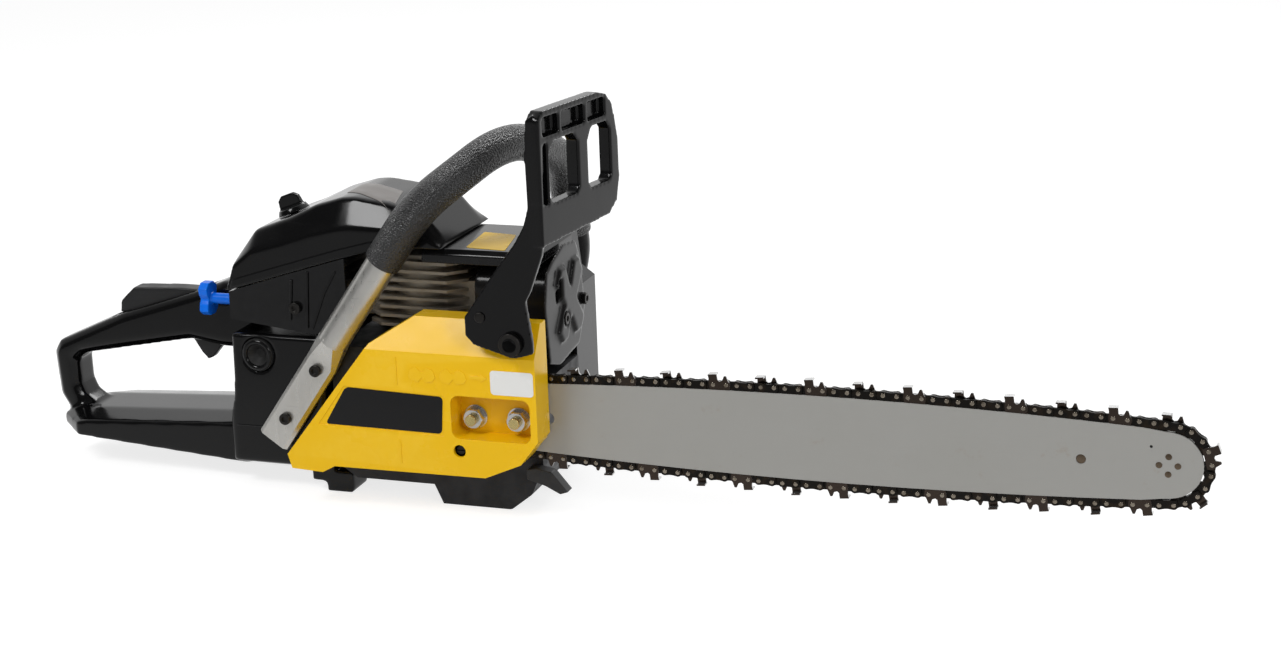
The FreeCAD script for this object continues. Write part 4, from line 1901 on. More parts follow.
def make_top_cover():
    """Cover over the front of the cylinder."""
    blank = box("top_cover_blank", ("top_cover_start", "top_cover_start + top_cover_length"),
                ("-top_cover_right", "top_cover_width - top_cover_right"), ("top_cover_bottom",
                                                                            "top_cover_top"))
    doc.recompute()
    rounded = doc.addObject("Part::Chamfer", "top_cover_rounded")
    rounded.Base = blank
    picked = []
    front_x = n.top_cover_start + n.top_cover_length * 0.9 - n.rest_to_crank
    for index, edge in enumerate(blank.Shape.Edges, start=1):
        middle = edge.CenterOfMass
        outer = middle.y < 0.9 * -n.top_cover_right or middle.x > front_x
        if abs(middle.z - n.top_cover_top) < 1e-6 and outer:
            picked.append((index, n.top_cover_wall * 1.4, n.top_cover_wall * 1.4))
    rounded.Edges = picked
    hollow = box("top_cover_hollow", ("top_cover_start + top_cover_wall",
                                      "top_cover_start + top_cover_length - top_cover_wall"),
                 ("-top_cover_right + top_cover_wall",
                  "top_cover_width - top_cover_right - top_cover_wall"),
                 ("top_cover_bottom - overrun", "top_cover_top - top_cover_wall"))
    back = box("top_cover_back", ("top_cover_start - overrun", "top_cover_start + 2 * top_cover_wall"),
               ("-fin_half_width - part_gap * 2", "top_cover_width"), ("top_cover_bottom - overrun",
                                                                       "top_cover_top - top_cover_wall"))
    sub_part(cut("top_cover_body", rounded, hollow, back, *screw_holes("top_cover")), "cylinder_cover")


SEAM_SHARES = [(0, 0), (0.287, 0.214), (0.52, 0.386), (0.665, 0.48), (0.892, 0.547), (1, 0.547)]
CREST_SHARES = [(1, 0.57), (0.904, 0.857), (0.737, 0.957), (0.587, 1), (0.527, 0.986), (0.407, 0.9),
                (0.281, 0.757), (0.12, 0.614), (0.03, 0.33), (0, 0.05)]
RIDGE_SHARES = [(1, 0.56), (0.904, 0.7), (0.737, 0.72), (0.587, 0.72), (0.527, 0.7), (0.407, 0.63),
                (0.281, 0.53), (0.12, 0.42), (0.03, 0.26), (0, 0.05)]


def make_filter_cover():
    """Domed cover over the air filter and the spark plug, held by one knob."""
    def dome(inset):
        corner = (-n.filter_cover_rear + inset, n.filter_cover_bottom)
        spans = (n.filter_cover_length - 2 * inset, n.filter_cover_height - inset)
        seam = span_points(SEAM_SHARES, corner, spans)
        if inset:
            seam = [(x, z - n.overrun * 3) for x, z in seam]
        half, shoulder = n.filter_cover_half - inset, n.filter_cover_shoulder - inset / 2
        wires = []
        for level, upper in ((-half, RIDGE_SHARES), (-shoulder, CREST_SHARES), (shoulder, CREST_SHARES),
                             (half, RIDGE_SHARES)):
            wires.append(wire_xz(seam + span_points(upper, corner, spans), level))
        return Part.makeLoft(wires, True, True)
    shell = dome(0).cut(dome(n.filter_cover_wall))
    tilt, spot = knob_frame()
    bore = Part.makeCylinder(n.filter_stud_dia / 2 + n.part_gap, n.filter_knob_dia * 2,
                             spot - tilt * n.filter_knob_dia, tilt)
    sub_part(solid("filter_cover_body", shell.cut(bore)), "filter_cover")


WING_SHARES = [(-0.8, 0), (0.8, 0), (0.7, 0.7), (0.4, 1), (-0.4, 1), (-0.7, 0.7)]


def knob_frame():
    """Direction of the cover knob's axis and the place of its seat on the cover."""
    low, high = CREST_SHARES[7], CREST_SHARES[6]
    ends = span_points([low, high], (-n.filter_cover_rear, n.filter_cover_bottom),
                       (n.filter_cover_length, n.filter_cover_height))
    along = V(ends[1][0] - ends[0][0], 0, ends[1][1] - ends[0][1]).normalize()
    share = (-n.filter_knob_x - ends[0][0]) / (ends[1][0] - ends[0][0])
    spot = V(-n.filter_knob_x, 0, ends[0][1] + (ends[1][1] - ends[0][1]) * share)
    return V(-along.z, 0, along.x), spot


def make_filter_knob():
    """Winged knob with its screw, which holds the filter cover."""
    tilt, spot = knob_frame()
    print("knob axis", [round(part, 4) for part in tilt], "seat", [round(part, 2) for part in spot])
    seat = spot + tilt * n.part_gap
    radius = n.filter_knob_dia / 2
    disc = Part.makeCone(radius, radius * 0.85, n.filter_knob_height, seat, tilt)
    shank = Part.makeCylinder(n.filter_stud_dia / 2, n.filter_stud_dia * 2.5,
                              seat - tilt * n.filter_stud_dia * 2.5, tilt)
    side = V(0, -n.filter_knob_wing_thickness / 2, 0)
    wing = [V(u * radius, 0, v * n.filter_knob_wing) + side for u, v in WING_SHARES]
    blade = Part.Face(Part.makePolygon(wing + wing[:1])).extrude(side * -2)
    blade.Placement = FreeCAD.Placement(seat + tilt * n.filter_knob_height * 0.9,
                                        FreeCAD.Rotation(V(0, 0, 1), tilt))
    sub_part(solid("filter_knob_body", disc.fuse([shank, blade])), "cover_knob")


AIR_BOX_SHARES = [(0, 0.12), (0.66, 0), (1, 0), (1, 0.94), (0.935, 0.91), (0.51, 0.71), (0, 0.457)]


def make_air_box():
    """Tray behind the cylinder that holds the carburettor and the filter."""
    def tray(inset, top):
        corner = (-n.air_box_rear + inset, n.air_box_bottom + inset)
        spans = (n.air_box_length - 2 * inset, n.air_box_height - inset)
        points = span_points(AIR_BOX_SHARES, corner, spans)
        points = points[:3] + [(x, z + top) for x, z in points[3:]]
        return slab_xz(points, -n.air_box_half + inset, n.air_box_half - inset)
    def corner(inset):
        """The room that the starter housing takes from the box's front left corner."""
        return Part.makeBox(n.air_box_length, n.air_box_half, n.air_box_height * 2,
                            V(-n.starter_rear - n.overrun - inset, n.starter_start - n.part_gap - inset,
                              n.air_box_bottom / 2))
    inner = tray(n.air_box_wall, n.overrun * 2).cut(corner(n.air_box_wall))
    blank = solid("air_box_blank", tray(0, 0).cut(corner(0)).cut(inner))
    front = "-(air_box_rear - air_box_length)"
    tools = [
        rod("air_box_boot_hole", "x", (f"{front} - air_box_wall - overrun", "0", "intake_height"),
            "boot_dia / 2 + part_gap",
            "air_box_wall + 2 * overrun"),
        rod("air_box_choke_hole", "x", ("-air_box_rear - overrun", "-choke_y", "choke_height"),
            "choke_stem_dia / 2 + part_gap", "air_box_wall + 2 * overrun"),
        rod("air_box_rod_hole", "x", ("-air_box_rear - overrun", "grip_y", "throttle_rod_height"),
            "rod_dia / 2 + part_gap", "air_box_wall + 2 * overrun"),
    ]
    sub_part(cut("air_box_body", blank, *tools, *screw_holes("air_box")), "air_box")


def make_air_filter():
    """Pleated filter panel between its two frame ends."""
    pleats = int(n.filter_pleats)
    width, height = n.filter_width, n.filter_height
    depth = n.filter_pleat_depth
    front, rear = -n.carb_start - n.part_gap, -n.filter_start
    points = []
    for index in range(pleats * 2 + 1):
        x = front - (depth if index % 2 else 0)
        points.append(V(x, -width / 2 + width * index / (pleats * 2), n.filter_bottom + depth))
    for index in range(pleats * 2, -1, -1):
        x = rear + (depth if index % 2 == 0 else 0)
        points.append(V(x, -width / 2 + width * index / (pleats * 2), n.filter_bottom + depth))
    body = Part.Face(Part.makePolygon(points + points[:1])).extrude(V(0, 0, height - 2 * depth))
    ends = [Part.makeBox(front - rear, width + depth, depth, V(rear, -(width + depth) / 2, z))
            for z in (n.filter_bottom, n.filter_bottom + height - depth)]
    mouth = Part.makeCylinder(n.carb_bore / 2 + n.part_gap, n.carb_bore, V(front, 0, n.intake_height),
                              V(-1, 0, 0))
    sub_part(solid("air_filter_body", body.fuse(ends).cut(mouth)), "air_filter")


CARB_FRONT = "-(carb_start - carb_length)"


def valve_x(share):
    """Place of a butterfly valve's shaft along the carburettor."""
    return f"-(carb_start - carb_length * {share})"


def make_carburettor():
    """Carburettor body with its bore, metering chambers and intake boot."""
    body = box("carb_block", ("-carb_start", CARB_FRONT), ("-carb_width / 2", "carb_width / 2"),
               ("intake_height - carb_height / 2", "intake_height + carb_height / 2"))
    levels = ("intake_height + carb_height / 2", "intake_height - carb_height / 2 - carb_bowl_height")
    bowls = [rod(f"carb_bowl{index}", "z", (valve_x(0.5), "0", level), "carb_bowl_dia / 2", "carb_bowl_height")
             for index, level in enumerate(levels)]
    bore = rod("carb_throat", "x", ("-carb_start - overrun", "0", "intake_height"), "carb_bore / 2",
               "carb_length + 2 * overrun")
    shafts = [rod(f"carb_shaft_hole{index}", "y", (valve_x(share), "-carb_width", "intake_height"),
                  "valve_shaft_dia / 2 + running_gap", "carb_width * 2")
              for index, share in enumerate((0.22, 0.78))]
    sub_part(cut("carb_body", fuse("carb_joined", body, *bowls), bore, *shafts), "carburettor")
    boot_start, boot_end = CARB_FRONT, "-intake_flange_x"
    tube = rod("boot_blank", "x", (boot_start, "0", "intake_height"), "boot_dia / 2",
               f"{boot_end} - ({boot_start})")
    hole = rod("boot_hole", "x", (f"{boot_start} - overrun", "0", "intake_height"), "boot_bore / 2",
               f"{boot_end} - ({boot_start}) + 2 * overrun")
    sub_part(cut("boot_body", tube, hole), "intake_boot")


def make_valves():
    """Throttle butterfly, closed at rest, and choke butterfly, open at rest, each with its lever."""
    for label, share, closed, side in (("throttle_valve", 0.78, True, 1), ("choke_valve", 0.22, False, -1)):
        x = valve_x(share)
        shaft_half = "(carb_width / 2 + 2 * valve_lever_thickness)"
        shaft = rod(f"{label}_shaft", "y", (x, f"-{shaft_half}", "intake_height"), "valve_shaft_dia / 2",
                    f"2 * {shaft_half}")
        axis = "x" if closed else "z"
        centre = (x, "0", "intake_height - valve_disc_thickness / 2")
        if closed:
            centre = (f"{x} - valve_disc_thickness / 2", "0", "intake_height")
        disc = rod(f"{label}_disc", axis, centre, "carb_bore / 2 - part_gap / 2", "valve_disc_thickness")
        near = "carb_width / 2 + part_gap"
        reach = (near, f"{near} + valve_lever_thickness")
        if side < 0:
            reach = (f"-({near} + valve_lever_thickness)", f"-({near})")
        lever = box(f"{label}_lever", (x, f"{x} + valve_shaft_dia"), reach,
                    ("intake_height", "intake_height + valve_lever_length + valve_shaft_dia / 2"))
        lean = -1 if closed else 1
        turn = FreeCAD.Rotation(V(0, 1, 0), 180 - lean * n.valve_lever_angle)
        lever.Placement = FreeCAD.Placement(V(), turn)
        across = "valve_shaft_dia / 2 * cos(valve_lever_angle * 1 deg)"
        down = "valve_shaft_dia / 2 * sin(valve_lever_angle * 1 deg)"
        bind(lever, Placement__Base__x=f"{x} - rest_to_crank + {across}")
        bind(lever, Placement__Base__z=f"intake_height - ({lean}) * {down}")
        sub_part(fuse(f"{label}_body", shaft, disc, lever), label)


LINK_SIDE = "{}(carb_width / 2 + 2 * part_gap + valve_lever_thickness + rod_dia / 2)"
LEVER_REACH = "valve_lever_length * sin(valve_lever_angle * 1 deg)"


def make_choke_knob():
    """Choke knob: a flat wing on a round stem that slides through the air box's wall."""
    stem = rod("choke_stem", "x", ("-choke_wing_x", "-choke_y", "choke_height"), "choke_stem_dia / 2",
               "choke_stem_length")
    wing = Bench("choke_wing")
    blank = wing.pad("YZ", ("-choke_y - choke_wing_width / 2", "choke_height - choke_wing_height / 2"),
                     ("-choke_wing_x", "-choke_wing_x + choke_wing_thickness"), ("choke_wing_width",
                                                                                 "choke_wing_height"),
                     [(0.3, 0), (0.7, 0), (0.95, 0.15), (0.9, 0.35), (0.78, 0.5), (0.9, 0.65), (0.95, 0.85),
                      (0.7, 1), (0.3, 1),
                      (0.05, 0.85), (0.1, 0.65), (0.22, 0.5), (0.1, 0.35), (0.05, 0.15)])
    wire = rod("choke_wire", "x", ("-choke_wing_x + choke_stem_length - overrun", LINK_SIDE.format("-"),
                                   "throttle_rod_height"),
               "rod_dia / 2", f"{valve_x(0.22)} + choke_wing_x - choke_stem_length + overrun + {LEVER_REACH}")
    sub_part(fuse("choke_body", stem, wing.body, wire), "choke_knob")


GRIP_SHARES = [(0, 0.48), (0.03, 0.55), (0.354, 0.758), (0.697, 0.917), (0.854, 1), (0.99, 1),
               (0.99, 0.58), (0.83, 0.583), (0.68, 0.617), (0.15, 0.475), (0.115, 0.43),
               (0.115, 0.27), (0.135, 0.2), (0.18, 0.155), (0.26, 0.12), (0.14, 0.03),
               (0.05, 0.1), (0.01, 0.2)]
DECK_EDGE_SHARES = [(0.14, 0.37), (0.14, 0.62), (0.2, 0.66), (1, 0.84), (1, 0.12), (0.6, 0.24)]
DECK_CREST_SHARES = [(0, 0.4), (0, 0.6), (0.1, 0.74), (1, 0.92), (1, 0.05), (0.6, 0.12)]
TANK_SIDE_SHARES = [(0.1, 1), (0.075, 0.6), (0, 0.4), (0, 0), (1, 0), (1, 1)]
TANK_END_SHARES = [(0, 0.17), (0.5, 0), (0.82, 0), (1, 0.14), (1, 1), (0, 1)]


FOOT_SHARES = [(0.35, 0), (1, 0), (1, 1), (0, 1), (0, 0.45), (0.35, 0.45)]


def make_tank():
    """Fuel tank block: the shape that its side, end and plan outlines have in common."""
    right, left = -n.tank_right, n.tank_width - n.tank_right
    side = slab_xz(span_points(TANK_SIDE_SHARES, (-n.tank_rear, 0), (n.tank_length, n.tank_height)), right,
                   left)
    ends = span_points(TANK_END_SHARES, (right, 0), (n.tank_width, n.tank_height))
    corners = [V(-n.tank_rear, y, z) for y, z in ends]
    end = Part.Face(Part.makePolygon(corners + corners[:1])).extrude(V(n.tank_length, 0, 0))
    plan = Part.makeBox(n.tank_length, n.tank_width, n.tank_height, V(-n.tank_rear, right, 0))
    upright = [edge for edge in plan.Edges if edge.BoundBox.ZLength > n.tank_wall]
    return side.common(end).common(plan.makeFillet(n.tank_round, upright))


def make_grip():
    """Rear post and grip: a slab of the outline, rounded round its whole rim."""
    outline = span_points(GRIP_SHARES, (-n.grip_rear, n.grip_bottom), (n.grip_length, n.grip_height))
    grip = slab_xz(outline, n.grip_y - n.grip_width / 2, n.grip_y + n.grip_width / 2)
    behind = -n.tank_rear - n.tank_round
    rim = [edge
           for edge in grip.Edges if edge.BoundBox.YLength < n.part_gap and edge.BoundBox.XMin < behind]
    return grip.makeChamfer(n.grip_round * 0.6, rim)


def make_deck():
    """Curved guard deck below the grip, lower at its two edges."""
    corner = (-n.deck_rear, n.deck_bottom)
    spans = (n.deck_rear - n.tank_rear + n.tank_round, n.deck_height)
    wires = [wire_xz(span_points(shares, corner, spans), n.grip_y + side * n.deck_half_width)
             for side, shares in ((-1, DECK_EDGE_SHARES), (-0.45, DECK_CREST_SHARES),
                                  (0.45, DECK_CREST_SHARES), (1, DECK_EDGE_SHARES))]
    return Part.makeLoft(wires, True, True)


def bar_y(radius, x, z, start, end):
    """A round bar along y between two places."""
    return Part.makeCylinder(radius, end - start, V(x, start, z), V(0, 1, 0))


def make_rear_handle():
    """Fuel tank, guard deck, rear post and grip in one moulding."""
    left = n.tank_width - n.tank_right
    neck_end = left + n.cap_neck_length
    neck = bar_y(n.cap_neck_dia / 2, -n.fuel_cap_x, n.fuel_cap_height, left - n.tank_wall, neck_end)
    foot = slab_xz(span_points(FOOT_SHARES, (-n.foot_rear, 0), (n.foot_length, n.foot_height)),
                   -n.foot_y, n.foot_width - n.foot_y)
    body = make_tank().fuse([make_deck(), make_grip(), neck, foot])
    inner = n.tank_wall * 2
    cavity = Part.makeBox(n.tank_length - 4 * inner, n.tank_width - 2 * inner, n.tank_height * 0.56,
                          V(-n.tank_rear + 3 * inner, -n.tank_right + inner, inner * 3))
    filler = bar_y(n.cap_neck_dia / 2 - n.tank_wall, -n.fuel_cap_x, n.fuel_cap_height, left - 2 * inner,
                   neck_end + n.overrun)
    half = n.trigger_slot / 2
    trigger_room = Part.makeBox(n.trigger_length * 1.9, n.trigger_slot, n.trigger_drop * 2.3,
                                V(-n.trigger_pivot_x - n.trigger_length * 1.35, n.grip_y - half,
                                  n.trigger_pivot_height - n.trigger_drop * 1.15))
    lock_low = n.lock_pivot_height - n.lock_height
    lock_room = Part.makeBox(n.lock_length * 1.4, n.lock_width + 2 * n.part_gap, n.lock_height * 2,
                             V(-n.lock_pivot_x - n.lock_length * 1.1,
                               n.grip_y - n.lock_width / 2 - n.part_gap, lock_low))
    slope = math.degrees(math.atan2(0.159 * n.grip_height, 0.343 * n.grip_length))
    lock_room.rotate(V(-n.lock_pivot_x, n.grip_y, n.lock_pivot_height - n.lock_height * 0.4), V(0, 1, 0),
                     -slope)
    rod_way = Part.makeCylinder(n.rod_dia / 2 + n.part_gap, n.trigger_pivot_x,
                                V(-n.trigger_pivot_x, n.grip_y, n.throttle_rod_height), V(1, 0, 0))
    plug = bar_y(n.isolator_dia / 2, -n.isolator_x, n.isolator_height, -n.tank_right - n.overrun,
                 -n.tank_right + n.isolator_depth - n.overrun / 2)
    switch_room = Part.makeBox(n.switch_width, n.switch_length * 0.66, n.switch_length * 1.125,
                               V(-n.switch_x - n.switch_width * 0.6, n.switch_y - n.part_gap,
                                 n.switch_height - n.switch_length * 0.5625))
    body = body.cut([cavity, filler, trigger_room, lock_room, rod_way, plug, switch_room])
    pin = n.trigger_pin_dia / 2
    pins = [bar_y(pin, -n.trigger_pivot_x, n.trigger_pivot_height, n.grip_y - half - n.overrun,
                  n.grip_y + half + n.overrun),
            bar_y(pin, -n.lock_pivot_x, n.lock_pivot_height, n.grip_y - n.lock_width,
                  n.grip_y + n.lock_width),
            bar_y(pin, -n.switch_x, n.switch_height, n.switch_y - n.overrun,
                  n.switch_y + n.switch_width + n.overrun)]
    handle = solid("rear_handle_blank", body.fuse(pins))
    sub_part(cut("rear_handle_body", handle, *screw_holes("handle")), "rear_handle")


TRIGGER_SHARES = [(-1.15, -0.2), (-1.0, -0.38), (-0.72, -0.82), (-0.54, -1.0), (-0.38, -0.93), (0, -0.5),
                  (0.26, -0.2), (0.26, 0.2), (0.15, 0.28), (0.1, 0.98), (-0.1, 0.98), (-0.16, 0.26), (-1.1,
                                                                                                      -0.1)]
LOCK_SHARES = [(-1.0, -0.4), (-0.98, 0), (-0.8, 0.5), (-0.2, 0.58), (0.08, 0.56), (0.14, 0.3), (0.1, -0.22),
               (-0.4, -0.34)]


def make_lever(label, shares, pivot, spans, half):
    """A flat lever with a bearing hole for its pin."""
    lever = slab_xz(span_points(shares, pivot, spans), n.grip_y - half, n.grip_y + half)
    hole = bar_y(n.trigger_pin_dia / 2 + n.running_gap, pivot[0], pivot[1], n.grip_y - 2 * half,
                 n.grip_y + 2 * half)
    sub_part(solid(f"{label}_body", lever.cut(hole)), label)


def make_controls():
    """Throttle trigger, throttle lock lever, throttle rod and stop switch."""
    make_lever("throttle_trigger", TRIGGER_SHARES, (-n.trigger_pivot_x, n.trigger_pivot_height),
               (n.trigger_length, n.trigger_drop), n.trigger_slot / 2 - n.part_gap)
    make_lever("lock_lever", LOCK_SHARES, (-n.lock_pivot_x, n.lock_pivot_height),
               (n.lock_length, n.lock_height), n.lock_width / 2)
    z = n.throttle_rod_height
    side = n.carb_width / 2 + 2 * n.part_gap + n.valve_lever_thickness + n.rod_dia / 2
    bend_x = -n.trigger_pivot_x + n.throttle_rod_bend
    lever_x = -(n.carb_start - n.carb_length
                * 0.78) - n.valve_lever_length * math.sin(math.radians(n.valve_lever_angle))
    start = V(-n.trigger_pivot_x + n.trigger_length * 0.1 + n.part_gap, n.grip_y, z)
    corners = [start, V(bend_x, n.grip_y, z), V(bend_x + side, side, z), V(lever_x, side, z)]
    path = bent_path(corners, [n.rod_dia * 3, n.rod_dia * 3])
    sub_part(solid("throttle_rod_body", tube_along(path, n.rod_dia / 2)), "throttle_rod")
    front, back = "-switch_x + switch_width * 0.2", "-switch_x - switch_width * 0.5"
    low, high = "switch_height - switch_length / 2", "switch_height + switch_length / 2"
    rocker = box("switch_rocker", (back, front), ("switch_y", "switch_y + switch_width"), (low, high))
    hole = rod("switch_hole", "y", ("-switch_x", "switch_y - overrun", "switch_height"),
               "trigger_pin_dia / 2 + running_gap", "switch_width + 2 * overrun")
    dish = rod("switch_dish", "y", (f"{back} - switch_length * 0.8", "switch_y - overrun", "switch_height"),
               "switch_length * 0.9", "switch_width + 2 * overrun")
    sub_part(cut("switch_body", rocker, hole, dish), "stop_switch")


def make_caps():
    """Fuel and oil caps, each with a raised grip bar."""
    for label, x, y, z in (("fuel_cap", "-fuel_cap_x",
                            "tank_width - tank_right + cap_neck_length + part_gap", "fuel_cap_height"),
                           ("oil_cap", "oil_neck_x", "oil_tank_left + oil_neck_length + part_gap",
                            "oil_neck_height")):
        disc = rod(f"{label}_disc", "y", (x, y, z), "cap_dia / 2", "cap_depth - cap_grip_height")
        bar = box(f"{label}_bar", (f"{x} - cap_dia * 0.42", f"{x} + cap_dia * 0.42"),
                  (f"{y} + cap_depth - cap_grip_height", f"{y} + cap_depth"),
                  (f"{z} - cap_grip_width / 2", f"{z} + cap_grip_width / 2"))
        plug = rod(f"{label}_plug", "y", (x, f"{y} - cap_neck_length", z),
                   "cap_neck_dia / 2 - 2 * tank_wall", "cap_neck_length")
        sub_part(fuse(f"{label}_body", disc, bar, plug), label)


def make_isolators():
    """Rubber isolators: one cup on the right side and two mounts in front of the tank."""
    cup = rod("isolator_cup", "y", ("-isolator_x", "-tank_right - overrun / 2", "isolator_height"),
              "isolator_dia / 2",
              "isolator_depth - overrun / 2")
    dish = cone("isolator_dish", "y", ("-isolator_x", "-tank_right - overrun / 2", "isolator_height"),
                "isolator_cup_dia / 2 + overrun",
                "isolator_cup_dia / 4", "isolator_depth / 2")
    mounts = [rod(f"isolator_mount{index}", "x", ("-(tank_rear - tank_length)", y, "mount_height"),
                  "mount_dia / 2",
                  "tank_rear - tank_length - case_rear") for index, y in enumerate(("-mount_y", "mount_y"))]
    group = doc.addObject("Part::Compound", "isolators_body")
    group.Links = [cut("isolator_plug", cup, dish)] + mounts
    sub_part(group, "isolators")


def handle_route():
    """Direction of the right leg, its foot, and the corners of the round tube's line."""
    slope = V(n.handle_slope_x, 0, n.handle_slope_height).normalize()
    foot = V(-n.handle_foot_x, -n.tank_right - n.part_gap - n.handle_flat_thickness / 2,
             n.handle_foot_height)
    start = foot + slope * (n.handle_flat_length + n.handle_tube_dia)
    start.y = -n.handle_side
    left = n.tank_width - n.tank_right + n.part_gap
    corners = [start,
               V(n.handle_shoulder_x, -n.handle_side, n.handle_shoulder_height),
               V(n.handle_top_x, n.handle_top_y, n.handle_top_height),
               V(n.handle_left_x, n.handle_left_y, n.handle_left_height),
               V(n.handle_leg_x, n.handle_leg_y, n.handle_leg_height),
               V(n.handle_low_x, n.handle_leg_y, n.handle_low_height),
               V(-n.handle_end_x, n.handle_leg_y, n.handle_end_height),
               V(-n.handle_end_x, left, n.handle_end_height)]
    radii = [n.handle_shoulder_round, n.handle_top_round, n.handle_left_round, n.handle_leg_round,
             n.handle_low_round, n.handle_end_round]
    return slope, foot, corners, radii


def eight_sided(centre, across, width, thickness, bevel):
    """A wire of eight edges: a rectangle with its corners taken off, square to the leg."""
    half, side = width / 2, thickness / 2
    points = [(-half, -side + bevel), (-half + bevel, -side), (half - bevel, -side), (half, -side + bevel),
              (half, side - bevel), (half - bevel, side), (-half + bevel, side), (-half, side - bevel)]
    corners = [centre + across * u + V(0, v, 0) for u, v in points]
    return Part.makePolygon(corners + corners[:1])


def make_front_handle():
    """Bent tube of the front handle with its flattened lower end, and the rubber grip on it."""
    slope, foot, corners, radii = handle_route()
    radius = n.handle_tube_dia / 2
    path = bent_path(corners, radii)
    hollow = tube_along(path, radius).cut(tube_along(path, radius - n.handle_wall))
    across = slope.cross(V(0, 1, 0))
    flat_end = foot + slope * n.handle_flat_length
    bevel = n.handle_flat_thickness * 0.28
    flat = [eight_sided(spot, across, n.handle_flat_width, n.handle_flat_thickness, bevel)
            for spot in (foot - slope * n.handle_flat_width / 2, flat_end)]
    neck_end = eight_sided(corners[0] + slope * n.overrun, across, n.handle_tube_dia * 0.96,
                           n.handle_tube_dia * 0.96,
                           n.handle_tube_dia * 0.28)
    tube = hollow.fuse([Part.makeLoft(flat, True, True), Part.makeLoft([flat[1], neck_end], True, True)])
    handle = solid("front_handle_blank", tube)
    sub_part(cut("front_handle_body", handle, *screw_holes("handle")), "front_handle_tube")
    grip_start = corners[0] + slope * n.handle_grip_start
    leg = (corners[4] - corners[3]).normalize()
    grip_path = bent_path([grip_start] + corners[1:4] + [corners[3] + leg * n.handle_flat_length],
                          radii[:3])
    sleeve = tube_along(grip_path, n.handle_grip_dia / 2).cut(tube_along(grip_path, radius))
    sub_part(solid("front_grip_body", sleeve), "front_handle_grip")


ARM_SHARES = [(0, 0.163), (0, 0.08), (0.1, 0.045), (0.56, 0), (0.67, 0), (0.87, 0.02), (0.87, 0.066),
              (0.8, 0.235), (0.87, 0.277), (1.04, 0.43), (1.08, 0.5), (1.1, 0.98), (1, 1), (0.9, 0.97),
              (0.87, 0.84), (0.89, 0.63), (0.82, 0.55), (0.69, 0.476), (0.49, 0.39), (0.27, 0.29)]
LOOP_SHARES = [(0, 0), (0.85, 0.04), (0.95, 0.12), (1, 0.3), (0.99, 0.62), (0.93, 0.88), (0.85, 0.97),
               (0.75, 1),
               (0.06, 1), (0, 0.94)]
WINDOW_SHARES = [(0.1, 0), (0.9, 0), (1, 0.1), (1, 0.85), (0.85, 1), (0.2, 1), (0, 0.8), (0, 0.1)]


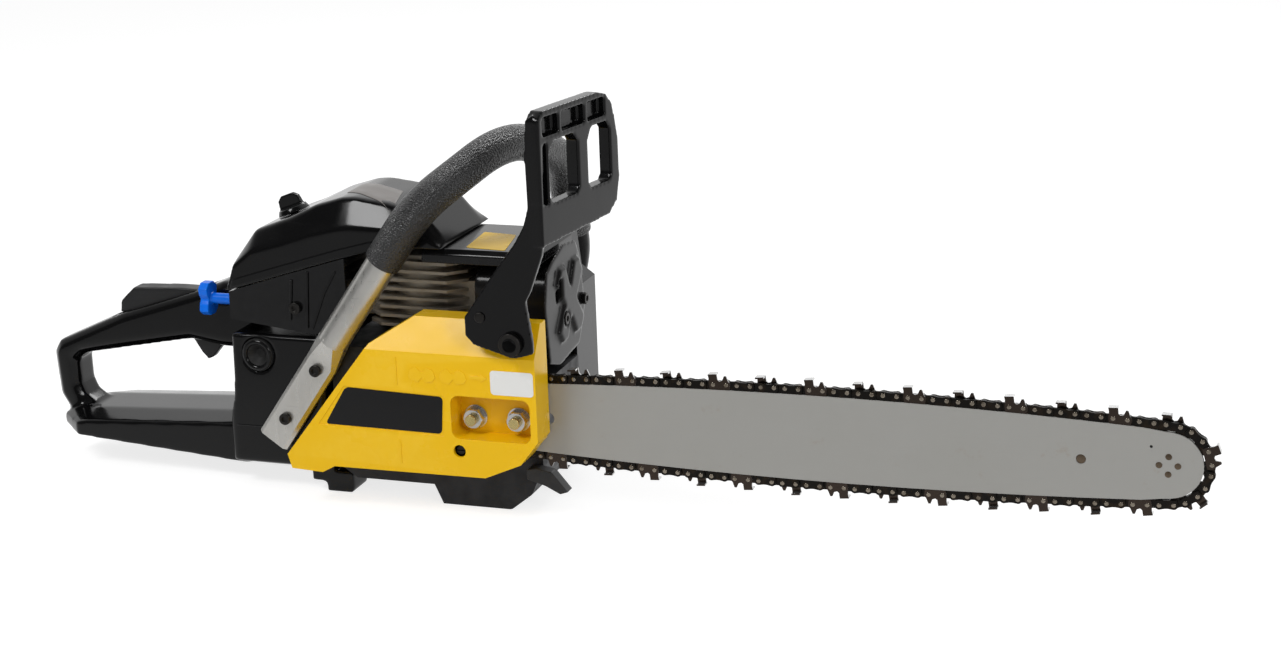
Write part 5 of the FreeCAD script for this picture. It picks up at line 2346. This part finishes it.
def make_guard():
    """Hand guard, which is also the chain brake's lever: arm, loop, windows and ribbed channel."""
    arm = slab_xz(span_points(ARM_SHARES, (n.guard_base_x, n.guard_base_height),
                              (n.guard_arm_length, n.guard_arm_height)),
                  -n.guard_face, -n.guard_face + n.guard_plate)
    def panel(shares, corner, spans, back, depth):
        points = [V(back, y, z) for y, z in span_points(shares, corner, spans)]
        return Part.Face(Part.makePolygon(points + points[:1])).extrude(V(depth, 0, 0))
    loop = panel(LOOP_SHARES, (0, 0), (n.guard_loop_width, n.guard_loop_height), 0, n.guard_loop_depth)
    windows = []
    wide, high = n.guard_loop_width, n.guard_loop_height
    through = n.guard_loop_depth + 2 * n.overrun
    for start, width in ((0.12, 0.36), (0.6, 0.29)):
        windows.append(panel(WINDOW_SHARES, (wide * start, high * 0.3), (wide * width, high * 0.46),
                             -n.overrun, through))
    rim = n.guard_loop_depth - n.guard_channel
    channel = n.guard_channel + n.overrun
    for start, width in ((0.04, 0.21), (0.29, 0.28), (0.61, 0.22)):
        windows.append(panel(SQUARE_SHARES, (wide * start, high * 0.81), (wide * width, high * 0.14),
                             rim, channel))
    windows.append(panel(SQUARE_SHARES, (wide * 0.03, high * 0.3), (wide * 0.07, high * 0.46), rim, channel))
    loop = loop.cut(windows)
    loop.rotate(V(), V(0, 0, 1), -n.guard_loop_yaw)
    loop.translate(V(n.guard_loop_x, -n.guard_face, n.guard_loop_bottom))
    guard = arm.fuse(loop)
    bore = Part.makeCylinder(n.guard_bolt_dia / 2 + n.running_gap, n.guard_plate * 3,
                             V(n.guard_pivot_x, -n.guard_face - n.guard_plate, n.guard_pivot_height), V(0,
                                                                                                        1, 0))
    sub_part(solid("guard_body", guard.cut(bore)), "hand_guard")


def make_guard_bolt():
    """Pivot bolt of the hand guard."""
    at = ("guard_pivot_x", "-(guard_face + part_gap + guard_bolt_head)", "guard_pivot_height")
    head = rod("guard_bolt_cap", "y", at, "guard_bolt_head_dia / 2", "guard_bolt_head")
    shank = rod("guard_bolt_shank", "y", at, "guard_bolt_dia / 2",
                "guard_bolt_head + guard_face - nut_seat_y")
    sub_part(fuse("guard_bolt_body", head, shank), "guard_pivot_bolt")


chain = ChainPath()
make_piston()
make_piston_rings()
make_rod()
make_crankshaft()
make_bearings()
make_case_right()
make_case_left()
make_cylinder()
make_spark_plug()
make_plug_lead()
make_flywheel()
make_coil()
make_starter_housing()
make_pulley()
make_recoil_spring()
make_rope_and_grip()
make_clutch()
make_drum(chain)
make_oil_pump()
make_brake_band()
make_clutch_cover()
make_studs_and_nuts()
make_chain(chain)
make_guide_bar()
make_nose_sprocket(chain)
make_catcher()
make_muffler()
make_top_cover()
make_filter_cover()
make_filter_knob()
make_air_box()
make_air_filter()
make_carburettor()
make_valves()
make_choke_knob()
make_rear_handle()
make_controls()
make_caps()
make_isolators()
make_front_handle()
make_guard()
make_guard_bolt()
make_screws()

doc.recompute()
for item in doc.Objects:
    if "Invalid" in item.State or "Error" in item.State:
        raise RuntimeError(f"{item.Name} is {item.State}")
for part in parts:
    if part.Shape.isNull() or not part.Shape.isValid():
        raise RuntimeError(f"{part.Label} has a bad shape")
os.makedirs("parts", exist_ok=True)
for part in parts:
    part.Shape.exportStep(f"parts/{part.Label}.step")
    bounds = part.Shape.BoundBox
    print(f"{part.Label}: {len(part.Shape.Solids)} solids, {part.Shape.Volume / 1000:.1f} cm3, "
          f"x {bounds.XMin:.1f} to {bounds.XMax:.1f}, y {bounds.YMin:.1f} to {bounds.YMax:.1f}, "
          f"z {bounds.ZMin:.1f} to {bounds.ZMax:.1f}")
